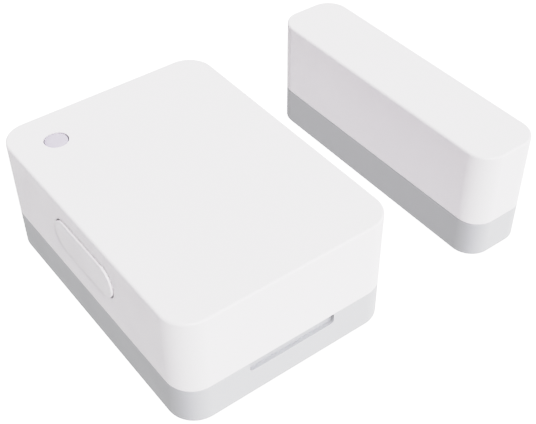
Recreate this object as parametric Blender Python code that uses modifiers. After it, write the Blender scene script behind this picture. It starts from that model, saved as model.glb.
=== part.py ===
"""Magnetic door contact: a coin-cell sensor unit and the slim magnet unit that goes beside it.

Sizes are in millimetres and are turned into metres by MM where a shape is made. The origin is the centre
of the sensor unit's adhesive face. +Z points away from the surface that the units stick to, +Y runs along
both units, and +X points from the sensor unit to the magnet unit.
"""

import math

import bmesh
import bpy
from mathutils import Matrix, Vector

MM = 0.001

# Both units
UNIT_LENGTH = 41.0
UNIT_HEIGHT = 16.3
SEAM_HEIGHT = 5.35
TOP_EDGE = 0.3
FOOT_EDGE = 0.15
PAD_PROUD = 0.2
PAD_THICK = 0.75
PAD_MARGIN = 0.15
PAD_RADIUS = 2.0
FIT_GAP = 0.1
CEILING = 1.5

# Sensor unit
SENSOR_WIDTH = 29.75
SENSOR_CORNER = 3.6
SENSOR_WALL = 1.5
SENSOR_FLOOR = 1.6
SENSOR_PAD = (21.0, 32.0)

# Magnet unit
MAGNET_WIDTH = 9.9
MAGNET_CORNER = 3.15
MAGNET_WALL = 1.3
MAGNET_FLOOR = 1.5
MAGNET_PAD = (5.4, 32.0)
UNIT_GAP = 14.3
MAGNET_X = SENSOR_WIDTH / 2 + UNIT_GAP + MAGNET_WIDTH / 2

# Levels above the adhesive face
FOOT_Z = PAD_PROUD
SEAM_Z = FOOT_Z + SEAM_HEIGHT
TOP_Z = FOOT_Z + UNIT_HEIGHT
CEILING_Z = TOP_Z - CEILING
HOUSING_Z = SEAM_Z + FIT_GAP / 2
RIM_Z = SEAM_Z - FIT_GAP / 2

# Pry notch in the rim of the sensor base
NOTCH_WIDTH = 12.1
NOTCH_HEIGHT = 1.45
NOTCH_DEPTH = 0.5
NOTCH_CORNER = 0.5
NOTCH_STEPS = 5

# Snap tongues that guide the covers
TONGUE_THICK = 0.9
TONGUE_GAP = 0.3
TONGUE_TOP = 7.4
TONGUE_SINK = 0.2
TONGUE_ROUND = 0.3
RIDGE_RADIUS = 0.3
RIDGE_PROUD = 0.2
RIDGE_Z = 6.7
SIDE_TONGUE_WIDTH = 6.0
SIDE_TONGUE_Y = 12.5
END_TONGUE_WIDTH = 8.0
MAGNET_TONGUE_WIDTH = 4.0
MAGNET_TONGUE_Y = 15.0

# Light window
WINDOW_X = -9.4
WINDOW_Y = 14.95
WINDOW_RADIUS = 1.6
PIPE_SINK = 0.1
PIPE_EDGE = 0.1
PIPE_STEM_RADIUS = 1.4
PIPE_STEM_Z = 10.7
PIPE_FLANGE_RADIUS = 2.2
PIPE_FLANGE_THICK = 0.6
COLLAR_RADIUS = 2.9
COLLAR_Z = 13.4
SHIELD_BORE = 1.9

# Side button
BUTTON_Y = -0.4
BUTTON_Z = 11.55
BUTTON_HOLE = (13.24, 4.8)
BUTTON_CLEARANCE = 0.12
BUTTON_PROUD = 0.25
BUTTON_EDGE = 0.15
BUTTON_FLANGE = (14.6, 5.7)
BUTTON_FLANGE_THICK = 0.8
BUTTON_POST = (2.4, 1.6)
POST_CORNER = 0.3

# Circuit board
BOARD_TOP = 9.3
BOARD_THICK = 0.8
BOARD_SIZE = (25.2, 36.6)
BOARD_CORNER = 1.8
BOARD_BOTTOM = BOARD_TOP - BOARD_THICK
BOARD_NOTCH_DEPTH = 0.8
BOARD_NOTCH_LENGTH = 15.2
BOARD_NOTCH_CORNER = 0.7

# Screws and the bosses that they go into
BOSS_SPOTS = ((9.9, 15.6), (9.9, -15.6), (-9.9, -15.6))
BOSS_RADIUS = 1.7
PILOT_RADIUS = 0.7
PILOT_TOP = 13.2
SCREW_HEAD_RADIUS = 1.4
SCREW_HEAD_HEIGHT = 0.9
SCREW_CREST = 0.6
SCREW_ROOT = 0.45
SCREW_TURNS = 7
SCREW_PITCH = 0.5
SCREW_POINT = 0.4
BOARD_HOLE_RADIUS = 0.85
RECESS_LENGTH = 1.5
RECESS_WIDTH = 0.4
RECESS_DEPTH = 0.5

# The screw head's rounded side, as (inset, drop below the seat)
SCREW_DOME = ((0.0, 0.4), (0.15, 0.7), (0.5, SCREW_HEAD_HEIGHT))

# Tactile switch behind the side button
SWITCH_FACE_X = -10.9
SWITCH_SIZE = (3.1, 4.4, 3.2)
PLUNGER_SIZE = (1.3, 2.0, 1.2)
SWITCH_CORNER = 0.2
PLUNGER_REACH = 0.6
PLUNGER_CORNER = 0.3
FRAME_SHEET = 0.25
FRAME_INSET = 0.25
FRAME_CORNER = 0.35

# Coin cell and its holder
CELL_Y = -1.5
CELL_RADIUS = 10.0
CELL_BOTTOM = 4.9
CELL_THICK = 3.2
CELL_TOP = CELL_BOTTOM + CELL_THICK
CAN_WALL = 0.7
CAN_FLOOR = 0.6
CAN_RIM = 0.35
CAN_SHOULDER = 0.45
GASKET_THICK = 0.35
GASKET_PROUD = 0.1

# The cell's rounded edges: the can's as (inset, height), and the cap's as (inset, drop)
CAN_FOOT = ((0.0, 0.4), (0.15, 0.1), (0.4, 0.0))
CAP_EDGE = ((0.6, 0.0), (0.4, 0.15), (0.35, 0.6), (0.0, 0.8))

HOLDER_BORE = 10.2
HOLDER_RADIUS = 11.3
HOLDER_BOTTOM = 5.2
HOLDER_WEB = 0.2
HOLDER_WINDOW = 5.0
FINGER_NOTCH = (10.0, 6.0)
CONTACT_GAP = (3.0, 6.4, 6.0)
CONTACT_SHEET = 0.2
CONTACT_CORNER = 0.6
LEAF_GAP = 0.15
LEAF_WIDTH = 5.0
LEAF_LIFT = 0.3
LEAF_FOOT = (1.2, 3.0)
ARM_LENGTH = 8.0
ARM_WIDTH = 1.8
ARM_SHEET = 0.15
RIB_X = 4.5
RIB_WIDTH = 1.0
RIB_LENGTH = 13.0
RIB_CORNER = 0.45

# Parts on the board: name, size, place, finish and corner radius
CHIP_CORNER = 0.05
CHIPS = (
    ("wireless_chip", (5.0, 5.0, 0.9), (0.5, 4.0), "chip_black", CHIP_CORNER),
    ("crystal", (3.2, 2.5, 0.8), (0.5, -2.0), "steel", 0.4),
    ("chip_antenna", (7.0, 2.2, 1.2), (2.0, 16.2), "antenna_ceramic", CHIP_CORNER),
    ("supply_capacitor", (3.5, 2.8, 1.9), (-3.5, -10.0), "capacitor_tan", 0.2),
    ("status_led", (0.8, 1.6, 0.6), (WINDOW_X + 0.9, WINDOW_Y), "led_white", CHIP_CORNER),
    ("light_sensor", (1.2, 1.6, 0.7), (WINDOW_X - 0.8, WINDOW_Y), "chip_black", CHIP_CORNER),
)
CAPACITOR_SIZE = (0.8, 1.6, 0.8)
CAPACITOR_SPOTS = ((4.8, 2.5), (4.8, 5.5), (-3.8, 2.5), (-3.8, 5.5))
RESISTOR_SIZE = (1.6, 0.8, 0.45)
RESISTOR_SPOTS = ((-5.4, 10.5), (-2.6, 10.5), (2.4, -6.5), (5.2, -6.5))

# Reed switch
REED_X = 9.6
REED_Z = 10.8
REED_HALF = 7.0
REED_RADIUS = 1.1
REED_BORE = 0.85
REED_NECK = 0.38
REED_SHOULDER = 0.8
REED_WIRE = 0.25
LEAD_END = 11.6
LEAD_BEND = 10.2
LEAD_RISE = 9.2
BLADE_WIDTH = 1.0
BLADE_THICK = 0.2
BLADE_GAP = 0.12
BLADE_OVERLAP = 0.8
BLADE_ROOT = 5.9
BLADE_ROOT_GAP = 0.15

# The glass's rounded ends, as (radius, distance from the end), and the bore's, from the shoulder inwards
REED_END = ((0.75, 0.1), (1.0, 0.4))
BORE_END = 0.4
NECK_END = 0.1

# Magnet
BAR_SIZE = (3.0, 24.0, 5.0)
BAR_CORNER = 0.3
BAR_BOTTOM = 8.0
BAR_X = -1.8
POST_Y = 8.0
POST_SIZE = (3.0, 1.6)
FOAM_LENGTH = 20.0

# How far a cutter runs past a face, how far two bodies overlap where they join, and how much less than half
# a width the corner radius of a fully rounded end is
PAST = 1.0
BITE = 0.2
HAIR = 0.01

# Facets and tolerances
ROUND_STEPS = 48
BOSS_STEPS = 32
REED_STEPS = 24
SMALL_STEPS = 16
CORNER_STEPS = 8
RIM_STEPS = 4
SOFT_STEPS = 3
CRISP_STEPS = 2
ROUND_PROFILE = 0.5
SMOOTH_ANGLE = math.radians(35)
ALONG = 0.99
TURNED_MERGE = 1e-6
WIRE_MERGE = 1e-7
WIRE_RESOLUTION = 2

PARTS = None
CUTTERS = None


def clear_scene():
    for obj in list(bpy.data.objects):
        bpy.data.objects.remove(obj, do_unlink=True)


def new_collection(name):
    collection = bpy.data.collections.new(name)
    bpy.context.scene.collection.children.link(collection)
    return collection


def surface(name, colour, roughness, metallic=0.0):
    material = bpy.data.materials.new(name)
    material.use_nodes = True
    shader = material.node_tree.nodes["Principled BSDF"]
    shader.inputs["Base Color"].default_value = (*colour, 1.0)
    shader.inputs["Roughness"].default_value = roughness
    shader.inputs["Metallic"].default_value = metallic
    return material


def add_object(name, data, location, material=None):
    """Links a mesh or curve as a part if it has a material, and as a hidden cutter if it hasn't."""
    obj = bpy.data.objects.new(name, data)
    obj.location = Vector(location) * MM
    if material is None:
        CUTTERS.objects.link(obj)
        obj.hide_render = True
        obj.display_type = "WIRE"
    else:
        PARTS.objects.link(obj)
        data.materials.append(material)
    return obj


def finish_mesh(name, bm):
    bmesh.ops.recalc_face_normals(bm, faces=bm.faces)
    mesh = bpy.data.meshes.new(name)
    bm.to_mesh(mesh)
    bm.free()
    mesh.shade_smooth()
    mesh.set_sharp_from_angle(angle=SMOOTH_ANGLE)
    return mesh


def bevel(bm, edges, width, steps):
    bmesh.ops.bevel(
        bm,
        geom=edges,
        offset=width * MM,
        offset_type="OFFSET",
        segments=steps,
        profile=ROUND_PROFILE,
        affect="EDGES",
    )


def edges_along(bm, axis):
    def is_along(edge):
        run = (edge.verts[1].co - edge.verts[0].co).normalized()
        return abs(run[axis]) > ALONG

    return [edge for edge in bm.edges if is_along(edge)]


def rim_edges(bm, axis, side):
    """The edges round the flat face that looks along the axis, on its + or - side."""
    face = max(bm.faces, key=lambda f: side * f.calc_center_median()[axis])
    return list(face.edges)


def block(name, size, location, material=None, corner=0.0, axis=2, rim=0.0, foot=0.0, steps=CORNER_STEPS):
    """A box centred on location. Corner rounds its edges along axis, and rim and foot round its two ends."""
    bm = bmesh.new()
    bmesh.ops.create_cube(bm, size=1.0)
    bmesh.ops.scale(bm, vec=Vector(size) * MM, verts=bm.verts)
    bm.normal_update()
    if corner:
        bevel(bm, edges_along(bm, axis), corner, steps)
    if rim:
        bevel(bm, rim_edges(bm, axis, 1), rim, RIM_STEPS)
    if foot:
        bevel(bm, rim_edges(bm, axis, -1), foot, SOFT_STEPS)
    return add_object(name, finish_mesh(name, bm), location, material)


def cylinder(name, radius, length, location, material=None, axis=2, steps=ROUND_STEPS):
    bm = bmesh.new()
    bmesh.ops.create_cone(
        bm, cap_ends=True, segments=steps, radius1=radius * MM, radius2=radius * MM, depth=length * MM
    )
    turn = {0: Matrix.Rotation(math.pi / 2, 3, "Y"), 1: Matrix.Rotation(-math.pi / 2, 3, "X"), 2: Matrix()}
    bmesh.ops.rotate(bm, verts=bm.verts, cent=(0, 0, 0), matrix=turn[axis].to_3x3())
    return add_object(name, finish_mesh(name, bm), location, material)


def turned(name, profile, location, material=None, closed=True, steps=ROUND_STEPS):
    """Turns (radius, height) points about the object's Z. The profile runs down its outer side."""
    bm = bmesh.new()
    points = [bm.verts.new((radius * MM, 0.0, height * MM)) for radius, height in profile]
    for first, second in zip(points, points[1:]):
        bm.edges.new((first, second))
    if closed:
        bm.edges.new((points[-1], points[0]))
    mesh = bpy.data.meshes.new(name)
    bm.to_mesh(mesh)
    bm.free()
    obj = add_object(name, mesh, location, material)
    screw = obj.modifiers.new("turn", "SCREW")
    screw.axis = "Z"
    screw.angle = math.tau
    screw.steps = steps
    screw.render_steps = steps
    screw.use_merge_vertices = True
    screw.merge_threshold = TURNED_MERGE
    return obj


def wire(name, points, radius):
    """A round wire through the points, as a closed mesh that a Boolean can join."""
    curve = bpy.data.curves.new(name, "CURVE")
    curve.dimensions = "3D"
    curve.bevel_depth = radius * MM
    curve.bevel_resolution = WIRE_RESOLUTION
    curve.use_fill_caps = True
    spline = curve.splines.new("POLY")
    spline.points.add(len(points) - 1)
    for target, point in zip(spline.points, points):
        target.co = (*(Vector(point) * MM), 1.0)
    guide = bpy.data.objects.new(name + "_guide", curve)
    CUTTERS.objects.link(guide)
    bpy.context.view_layer.update()
    evaluated = guide.evaluated_get(bpy.context.evaluated_depsgraph_get())
    mesh = bpy.data.meshes.new_from_object(evaluated)
    bpy.data.objects.remove(guide, do_unlink=True)
    bm = bmesh.new()
    bm.from_mesh(mesh)
    bmesh.ops.remove_doubles(bm, verts=bm.verts, dist=WIRE_MERGE)
    return finish_mesh(name, bm)


def combine(target, other, operation):
    modifier = target.modifiers.new(other.name, "BOOLEAN")
    modifier.operation = operation
    modifier.object = other
    modifier.solver = "EXACT"


def cut(target, *others):
    for other in others:
        combine(target, other, "DIFFERENCE")


def fuse(target, *others):
    for other in others:
        combine(target, other, "UNION")


def joint_empty(name, location, members):
    """An empty on a joint's axis that carries the pieces which move there."""
    empty = bpy.data.objects.new(name, None)
    PARTS.objects.link(empty)
    empty.location = Vector(location) * MM
    bpy.context.view_layer.update()
    for member in members:
        member.parent = empty
        member.matrix_parent_inverse = empty.matrix_world.inverted()
    return empty


def span(low, high):
    """(size, middle) of a range."""
    return high - low, (high + low) / 2


# Casings


def adhesive_pad(name, size, x, material):
    return block(name, (*size, PAD_THICK), (x, 0, PAD_THICK / 2), material, corner=PAD_RADIUS)


def base_tray(name, x, width, corner, wall, floor, pad, material):
    """The grey lower shell: an open tray with a shallow pocket in its underside for the adhesive pad."""
    height, middle = span(FOOT_Z, RIM_Z)
    tray = block(name, (width, UNIT_LENGTH, height), (x, 0, middle), material, corner=corner, foot=FOOT_EDGE)
    depth, middle = span(FOOT_Z + floor, RIM_Z + PAST)
    bay = block(
        name + "_bay",
        (width - 2 * wall, UNIT_LENGTH - 2 * wall, depth),
        (x, 0, middle),
        corner=corner - wall,
    )
    depth, middle = span(-PAST, PAD_THICK + FIT_GAP)
    pocket = block(
        name + "_pocket",
        (pad[0] + 2 * PAD_MARGIN, pad[1] + 2 * PAD_MARGIN, depth),
        (x, 0, middle),
        corner=PAD_RADIUS + PAD_MARGIN,
    )
    cut(tray, bay, pocket)
    return tray


def cover_shell(name, x, width, corner, wall, material):
    """The white upper shell: a cup that opens downwards."""
    height, middle = span(HOUSING_Z, TOP_Z)
    shell = block(name, (width, UNIT_LENGTH, height), (x, 0, middle), material, corner=corner, rim=TOP_EDGE)
    depth, middle = span(HOUSING_Z - PAST, CEILING_Z)
    bay = block(
        name + "_bay",
        (width - 2 * wall, UNIT_LENGTH - 2 * wall, depth),
        (x, 0, middle),
        corner=corner - wall,
    )
    cut(shell, bay)
    return shell


def add_tongue(tray, name, centre, reach, angle, width, floor_z):
    """A tongue that rises from the tray inside the cover. Reach is from the unit's centre to the wall."""
    turn = Matrix.Rotation(angle, 4, "Z")

    def put(obj):
        local = obj.location.copy()
        obj.location = (turn @ local) + Vector(centre) * MM
        obj.rotation_euler = (0, 0, angle)
        fuse(tray, obj)

    outer = reach - TONGUE_GAP
    inner = outer - TONGUE_THICK
    low = floor_z - TONGUE_SINK
    height, middle = span(low, TONGUE_TOP)
    put(
        block(
            name,
            (TONGUE_THICK, width, height),
            (outer - TONGUE_THICK / 2, 0, middle),
            corner=TONGUE_ROUND,
            rim=TONGUE_SINK,
            steps=SOFT_STEPS,
        )
    )
    root, root_x = span(inner + FIT_GAP, reach + TONGUE_SINK)
    height, middle = span(low, RIM_Z - 2 * TONGUE_SINK)
    put(block(name + "_root", (root, width - 3 * TONGUE_ROUND, height), (root_x, 0, middle)))
    ridge_x = outer + RIDGE_PROUD - RIDGE_RADIUS
    ridge_length = width - 6 * TONGUE_ROUND
    ridge_spot = (ridge_x, 0, RIDGE_Z)
    put(cylinder(name + "_ridge", RIDGE_RADIUS, ridge_length, ridge_spot, axis=1, steps=SMALL_STEPS))


def sensor_base(material):
    tray = base_tray(
        "sensor_base", 0, SENSOR_WIDTH, SENSOR_CORNER, SENSOR_WALL, SENSOR_FLOOR, SENSOR_PAD, material
    )
    height, middle = span(SEAM_Z - NOTCH_HEIGHT, SEAM_Z + PAST)
    notch = block(
        "pry_notch",
        (NOTCH_WIDTH, 2 * NOTCH_DEPTH, height),
        (0, -UNIT_LENGTH / 2, middle),
        corner=NOTCH_CORNER,
        axis=1,
        steps=NOTCH_STEPS,
    )
    cut(tray, notch)
    floor_z = FOOT_Z + SENSOR_FLOOR
    side_reach = SENSOR_WIDTH / 2 - SENSOR_WALL
    end_reach = UNIT_LENGTH / 2 - SENSOR_WALL
    for side, angle in (("right", 0.0), ("left", math.pi)):
        for end in (-1, 1):
            name = f"tongue_{side}_{'back' if end > 0 else 'front'}"
            add_tongue(tray, name, (0, SIDE_TONGUE_Y * end, 0), side_reach, angle, SIDE_TONGUE_WIDTH, floor_z)
    for name, angle in (("tongue_back", math.pi / 2), ("tongue_front", -math.pi / 2)):
        add_tongue(tray, name, (0, 0, 0), end_reach, angle, END_TONGUE_WIDTH, floor_z)
    height, middle = span(floor_z - TONGUE_SINK, CELL_BOTTOM - 2 * FIT_GAP)
    for side in (-1, 1):
        spot = (RIB_X * side, CELL_Y, middle)
        size = (RIB_WIDTH, RIB_LENGTH, height)
        fuse(tray, block(f"cell_rib_{side}", size, spot, corner=RIB_CORNER, steps=SOFT_STEPS))
    return tray


def sensor_housing(material):
    shell = cover_shell("sensor_housing", 0, SENSOR_WIDTH, SENSOR_CORNER, SENSOR_WALL, material)
    hole = block(
        "button_hole",
        (4 * SENSOR_WALL, *BUTTON_HOLE),
        (-SENSOR_WIDTH / 2, BUTTON_Y, BUTTON_Z),
        corner=BUTTON_HOLE[1] / 2 - HAIR,
        axis=0,
    )
    cut(shell, hole)
    height, middle = span(COLLAR_Z, CEILING_Z + BITE)
    collar = cylinder("pipe_collar", COLLAR_RADIUS, height, (WINDOW_X, WINDOW_Y, middle))
    fuse(shell, collar)
    height, middle = span(COLLAR_Z - PAST, CEILING_Z)
    seat = cylinder("pipe_seat", PIPE_FLANGE_RADIUS + FIT_GAP, height, (WINDOW_X, WINDOW_Y, middle))
    window = cylinder("window_hole", WINDOW_RADIUS, 4 * CEILING, (WINDOW_X, WINDOW_Y, TOP_Z))
    cut(shell, seat, window)
    for number, (x, y) in enumerate(BOSS_SPOTS, 1):
        height, middle = span(BOARD_TOP + FIT_GAP, CEILING_Z + BITE)
        fuse(shell, cylinder(f"boss_{number}", BOSS_RADIUS, height, (x, y, middle), steps=BOSS_STEPS))
        height, middle = span(BOARD_TOP - PAST, PILOT_TOP)
        cut(shell, cylinder(f"pilot_{number}", PILOT_RADIUS, height, (x, y, middle), steps=SMALL_STEPS))
    return shell


def magnet_base(material):
    tray = base_tray(
        "magnet_base", MAGNET_X, MAGNET_WIDTH, MAGNET_CORNER, MAGNET_WALL, MAGNET_FLOOR, MAGNET_PAD, material
    )
    floor_z = FOOT_Z + MAGNET_FLOOR
    reach = MAGNET_WIDTH / 2 - MAGNET_WALL
    for end in (-1, 1):
        for side, angle in (("right", 0.0), ("left", math.pi)):
            name = f"magnet_tongue_{side}_{'back' if end > 0 else 'front'}"
            centre = (MAGNET_X, MAGNET_TONGUE_Y * end, 0)
            add_tongue(tray, name, centre, reach, angle, MAGNET_TONGUE_WIDTH, floor_z)
        height, middle = span(floor_z - TONGUE_SINK, BAR_BOTTOM - FIT_GAP)
        spot = (MAGNET_X + BAR_X, POST_Y * end, middle)
        size = (*POST_SIZE, height)
        fuse(tray, block(f"bar_post_{end}", size, spot, corner=TONGUE_ROUND, steps=CRISP_STEPS))
    return tray


# Window and button


def window_light_pipe(material):
    top = TOP_Z - PIPE_SINK
    flange = CEILING_Z - FIT_GAP
    head = WINDOW_RADIUS - FIT_GAP
    profile = [
        (0, top),
        (head - PIPE_EDGE, top),
        (head, top - PIPE_EDGE),
        (head, flange),
        (PIPE_FLANGE_RADIUS, flange),
        (PIPE_FLANGE_RADIUS, flange - PIPE_FLANGE_THICK),
        (PIPE_STEM_RADIUS, flange - PIPE_FLANGE_THICK),
        (PIPE_STEM_RADIUS, PIPE_STEM_Z),
        (0, PIPE_STEM_Z),
    ]
    return turned("window_light_pipe", profile, (WINDOW_X, WINDOW_Y, 0), material, closed=False)


def light_shield(material):
    bottom = BOARD_TOP + FIT_GAP
    top = COLLAR_Z - FIT_GAP
    profile = [(SHIELD_BORE, top), (COLLAR_RADIUS, top), (COLLAR_RADIUS, bottom), (SHIELD_BORE, bottom)]
    return turned("light_shield", profile, (WINDOW_X, WINDOW_Y, 0), material)


def side_button(material):
    """A long key with a flange inside the wall and a post that meets the switch."""
    wall_x = -SENSOR_WIDTH / 2 + SENSOR_WALL
    flange_x = wall_x + FIT_GAP
    face_x = -SENSOR_WIDTH / 2 - BUTTON_PROUD
    length = BUTTON_HOLE[0] - 2 * BUTTON_CLEARANCE
    height = BUTTON_HOLE[1] - 2 * BUTTON_CLEARANCE
    depth, middle = span(face_x, flange_x + BITE)
    key = block(
        "side_button",
        (depth, length, height),
        (middle, BUTTON_Y, BUTTON_Z),
        material,
        corner=height / 2 - HAIR,
        axis=0,
        foot=BUTTON_EDGE,
    )
    flange = block(
        "button_flange",
        (BUTTON_FLANGE_THICK, *BUTTON_FLANGE),
        (flange_x + BUTTON_FLANGE_THICK / 2, BUTTON_Y, BUTTON_Z),
        corner=BUTTON_FLANGE[1] / 2 - HAIR,
        axis=0,
    )
    post_end = SWITCH_FACE_X - PLUNGER_REACH - FIT_GAP
    depth, middle = span(flange_x + BUTTON_FLANGE_THICK - BITE, post_end)
    spot = (middle, BUTTON_Y, BUTTON_Z)
    post = block("button_post", (depth, *BUTTON_POST), spot, corner=POST_CORNER, axis=0, steps=SOFT_STEPS)
    fuse(key, flange, post)
    return key


# Board and the parts on it


def main_board(material):
    spot = (0, 0, BOARD_TOP - BOARD_THICK / 2)
    board = block("main_board", (*BOARD_SIZE, BOARD_THICK), spot, material, corner=BOARD_CORNER)
    notch = block(
        "board_notch",
        (2 * BOARD_NOTCH_DEPTH, BOARD_NOTCH_LENGTH, 3 * BOARD_THICK),
        (-BOARD_SIZE[0] / 2, BUTTON_Y, BOARD_TOP),
        corner=BOARD_NOTCH_CORNER,
        steps=SOFT_STEPS,
    )
    cut(board, notch)
    for number, (x, y) in enumerate(BOSS_SPOTS, 1):
        name = f"board_hole_{number}"
        cut(board, cylinder(name, BOARD_HOLE_RADIUS, 3 * BOARD_THICK, (x, y, BOARD_TOP), steps=BOSS_STEPS))
    return board


def board_screw(number, x, y, material):
    """A self-tapping screw, head down. Its thread is turned as separate crests."""
    seat = BOARD_BOTTOM - FIT_GAP
    bottom = seat - SCREW_HEAD_HEIGHT
    thread_top = seat + BOARD_THICK + SCREW_TURNS * SCREW_PITCH
    profile = [(0, thread_top + SCREW_POINT)]
    for turn in range(SCREW_TURNS):
        height = thread_top - turn * SCREW_PITCH
        profile += [(SCREW_ROOT, height), (SCREW_CREST, height - SCREW_PITCH / 2)]
    profile += [(SCREW_ROOT, seat), (SCREW_HEAD_RADIUS, seat)]
    profile += [(SCREW_HEAD_RADIUS - inset, seat - drop) for inset, drop in SCREW_DOME]
    profile.append((0, bottom))
    screw = turned(f"board_screw_{number}", profile, (x, y, 0), material, closed=False, steps=SMALL_STEPS)
    for arm, size in enumerate(((RECESS_LENGTH, RECESS_WIDTH), (RECESS_WIDTH, RECESS_LENGTH))):
        recess = block(f"recess_{number}_{arm}", (*size, 2 * RECESS_DEPTH), (x, y, bottom))
        cut(screw, recess)
    return screw


def tactile_switch(body_material, metal, plunger_material):
    base_z = BOARD_TOP + FIT_GAP
    depth, width, height = SWITCH_SIZE
    middle_x = SWITCH_FACE_X + depth / 2
    spot = (middle_x, BUTTON_Y, base_z + height / 2)
    body = block("switch_body", SWITCH_SIZE, spot, body_material, corner=SWITCH_CORNER, steps=CRISP_STEPS)
    pocket_size = tuple(side + 2 * FIT_GAP for side in PLUNGER_SIZE)
    pocket_x = SWITCH_FACE_X - FIT_GAP + pocket_size[0] / 2
    cut(body, block("plunger_pocket", pocket_size, (pocket_x, BUTTON_Y, BUTTON_Z)))

    outer = (depth - 2 * FRAME_INSET, width + 2 * (FRAME_SHEET + FIT_GAP), height + FRAME_SHEET + FIT_GAP)
    spot = (middle_x, BUTTON_Y, base_z + outer[2] / 2)
    frame = block("switch_frame", outer, spot, metal, corner=FRAME_CORNER, axis=0, steps=SOFT_STEPS)
    inside = (depth + PAST, width + 2 * FIT_GAP, 2 * (height + FIT_GAP))
    cut(frame, block("frame_bay", inside, (middle_x, BUTTON_Y, base_z)))

    plunger_x = SWITCH_FACE_X - PLUNGER_REACH + PLUNGER_SIZE[0] / 2
    spot = (plunger_x, BUTTON_Y, BUTTON_Z)
    plunger = block(
        "switch_plunger",
        PLUNGER_SIZE,
        spot,
        plunger_material,
        corner=PLUNGER_CORNER,
        axis=0,
        steps=SOFT_STEPS,
    )
    return body, frame, plunger


def board_chips(palette):
    """The parts soldered on top of the board. Each stands a fit gap above it."""
    chips = []
    for name, size, (x, y), finish, corner in CHIPS:
        spot = (x, y, BOARD_TOP + FIT_GAP + size[2] / 2)
        chips.append(block(name, size, spot, palette[finish], corner=corner, steps=CRISP_STEPS))
    for kind, spots, size, finish in (
        ("ceramic_capacitor", CAPACITOR_SPOTS, CAPACITOR_SIZE, "capacitor_tan"),
        ("chip_resistor", RESISTOR_SPOTS, RESISTOR_SIZE, "chip_black"),
    ):
        for number, (x, y) in enumerate(spots, 1):
            spot = (x, y, BOARD_TOP + FIT_GAP + size[2] / 2)
            name = f"{kind}_{number}"
            chips.append(block(name, size, spot, palette[finish], corner=CHIP_CORNER, steps=CRISP_STEPS))
    return chips


def reed_switch(glass, metal):
    """A glass tube with a fixed blade, and a moving blade that hangs on its own lead."""
    shoulder = REED_HALF - REED_SHOULDER
    half = [(REED_NECK, REED_HALF)]
    half += [(radius, REED_HALF - inset) for radius, inset in REED_END]
    half.append((REED_RADIUS, shoulder))
    outside = half + [(radius, -height) for radius, height in reversed(half)]
    inside = [
        (REED_NECK, -shoulder - NECK_END),
        (REED_BORE, BORE_END - shoulder),
        (REED_BORE, shoulder - BORE_END),
        (REED_NECK, shoulder + NECK_END),
    ]
    tube = turned("reed_glass", outside + inside, (REED_X, 0, REED_Z), glass, steps=REED_STEPS)
    tube.rotation_euler = (-math.pi / 2, 0, 0)

    wire_z = BOARD_TOP + FIT_GAP + REED_WIRE - REED_Z

    def lead_points(end, inner):
        flat = [(0, end * LEAD_END, wire_z), (0, end * LEAD_BEND, wire_z)]
        return flat + [(0, end * LEAD_RISE, 0), (0, end * inner, 0)]

    centre = (REED_X, 0, REED_Z)
    fixed_wire = wire("reed_fixed_blade", lead_points(-1, BLADE_ROOT - BITE), REED_WIRE)
    fixed = add_object("reed_fixed_blade", fixed_wire, centre, metal)
    length, middle = span(-BLADE_ROOT, BLADE_OVERLAP)
    sheet_z = REED_Z - (BLADE_GAP + BLADE_THICK) / 2
    fuse(fixed, block("fixed_sheet", (BLADE_WIDTH, length, BLADE_THICK), (REED_X, middle, sheet_z)))
    lead_wire = wire("reed_lead", lead_points(1, BLADE_ROOT + BLADE_ROOT_GAP), REED_WIRE)
    lead = add_object("reed_lead", lead_wire, centre, metal)
    length, middle = span(-BLADE_OVERLAP, BLADE_ROOT)
    spot = (REED_X, middle, REED_Z + (BLADE_GAP + BLADE_THICK) / 2)
    moving = block("reed_moving_blade", (BLADE_WIDTH, length, BLADE_THICK), spot, metal)
    return tube, fixed, lead, moving


# Coin cell


def coin_cell(steel, gasket_material):
    centre = (0, CELL_Y, 0)
    can_inside = CELL_RADIUS - CAN_WALL
    can_floor = CELL_BOTTOM + CAN_FLOOR
    can_rim = CELL_TOP - CAN_RIM
    profile = [
        (0, can_floor),
        (can_inside, can_floor),
        (can_inside, can_rim),
        (can_inside + CAN_WALL / 2, can_rim),
        (CELL_RADIUS, can_rim - CAN_SHOULDER),
    ]
    profile += [(CELL_RADIUS - inset, CELL_BOTTOM + rise) for inset, rise in CAN_FOOT]
    profile.append((0, CELL_BOTTOM))
    can = turned("battery_can", profile, centre, steel, closed=False)

    low = can_floor + FIT_GAP
    high = can_rim + GASKET_PROUD
    gasket_out = can_inside - FIT_GAP
    gasket_in = gasket_out - GASKET_THICK
    profile = [(gasket_in, high), (gasket_out, high), (gasket_out, low), (gasket_in, low)]
    gasket = turned("battery_gasket", profile, centre, gasket_material)

    cap_radius = gasket_in - FIT_GAP
    profile = [(0, CELL_TOP)]
    profile += [(cap_radius - inset, CELL_TOP - drop) for inset, drop in CAP_EDGE]
    profile += [(cap_radius, low), (0, low)]
    cap = turned("battery_cap", profile, centre, steel, closed=False)
    return can, gasket, cap


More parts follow.
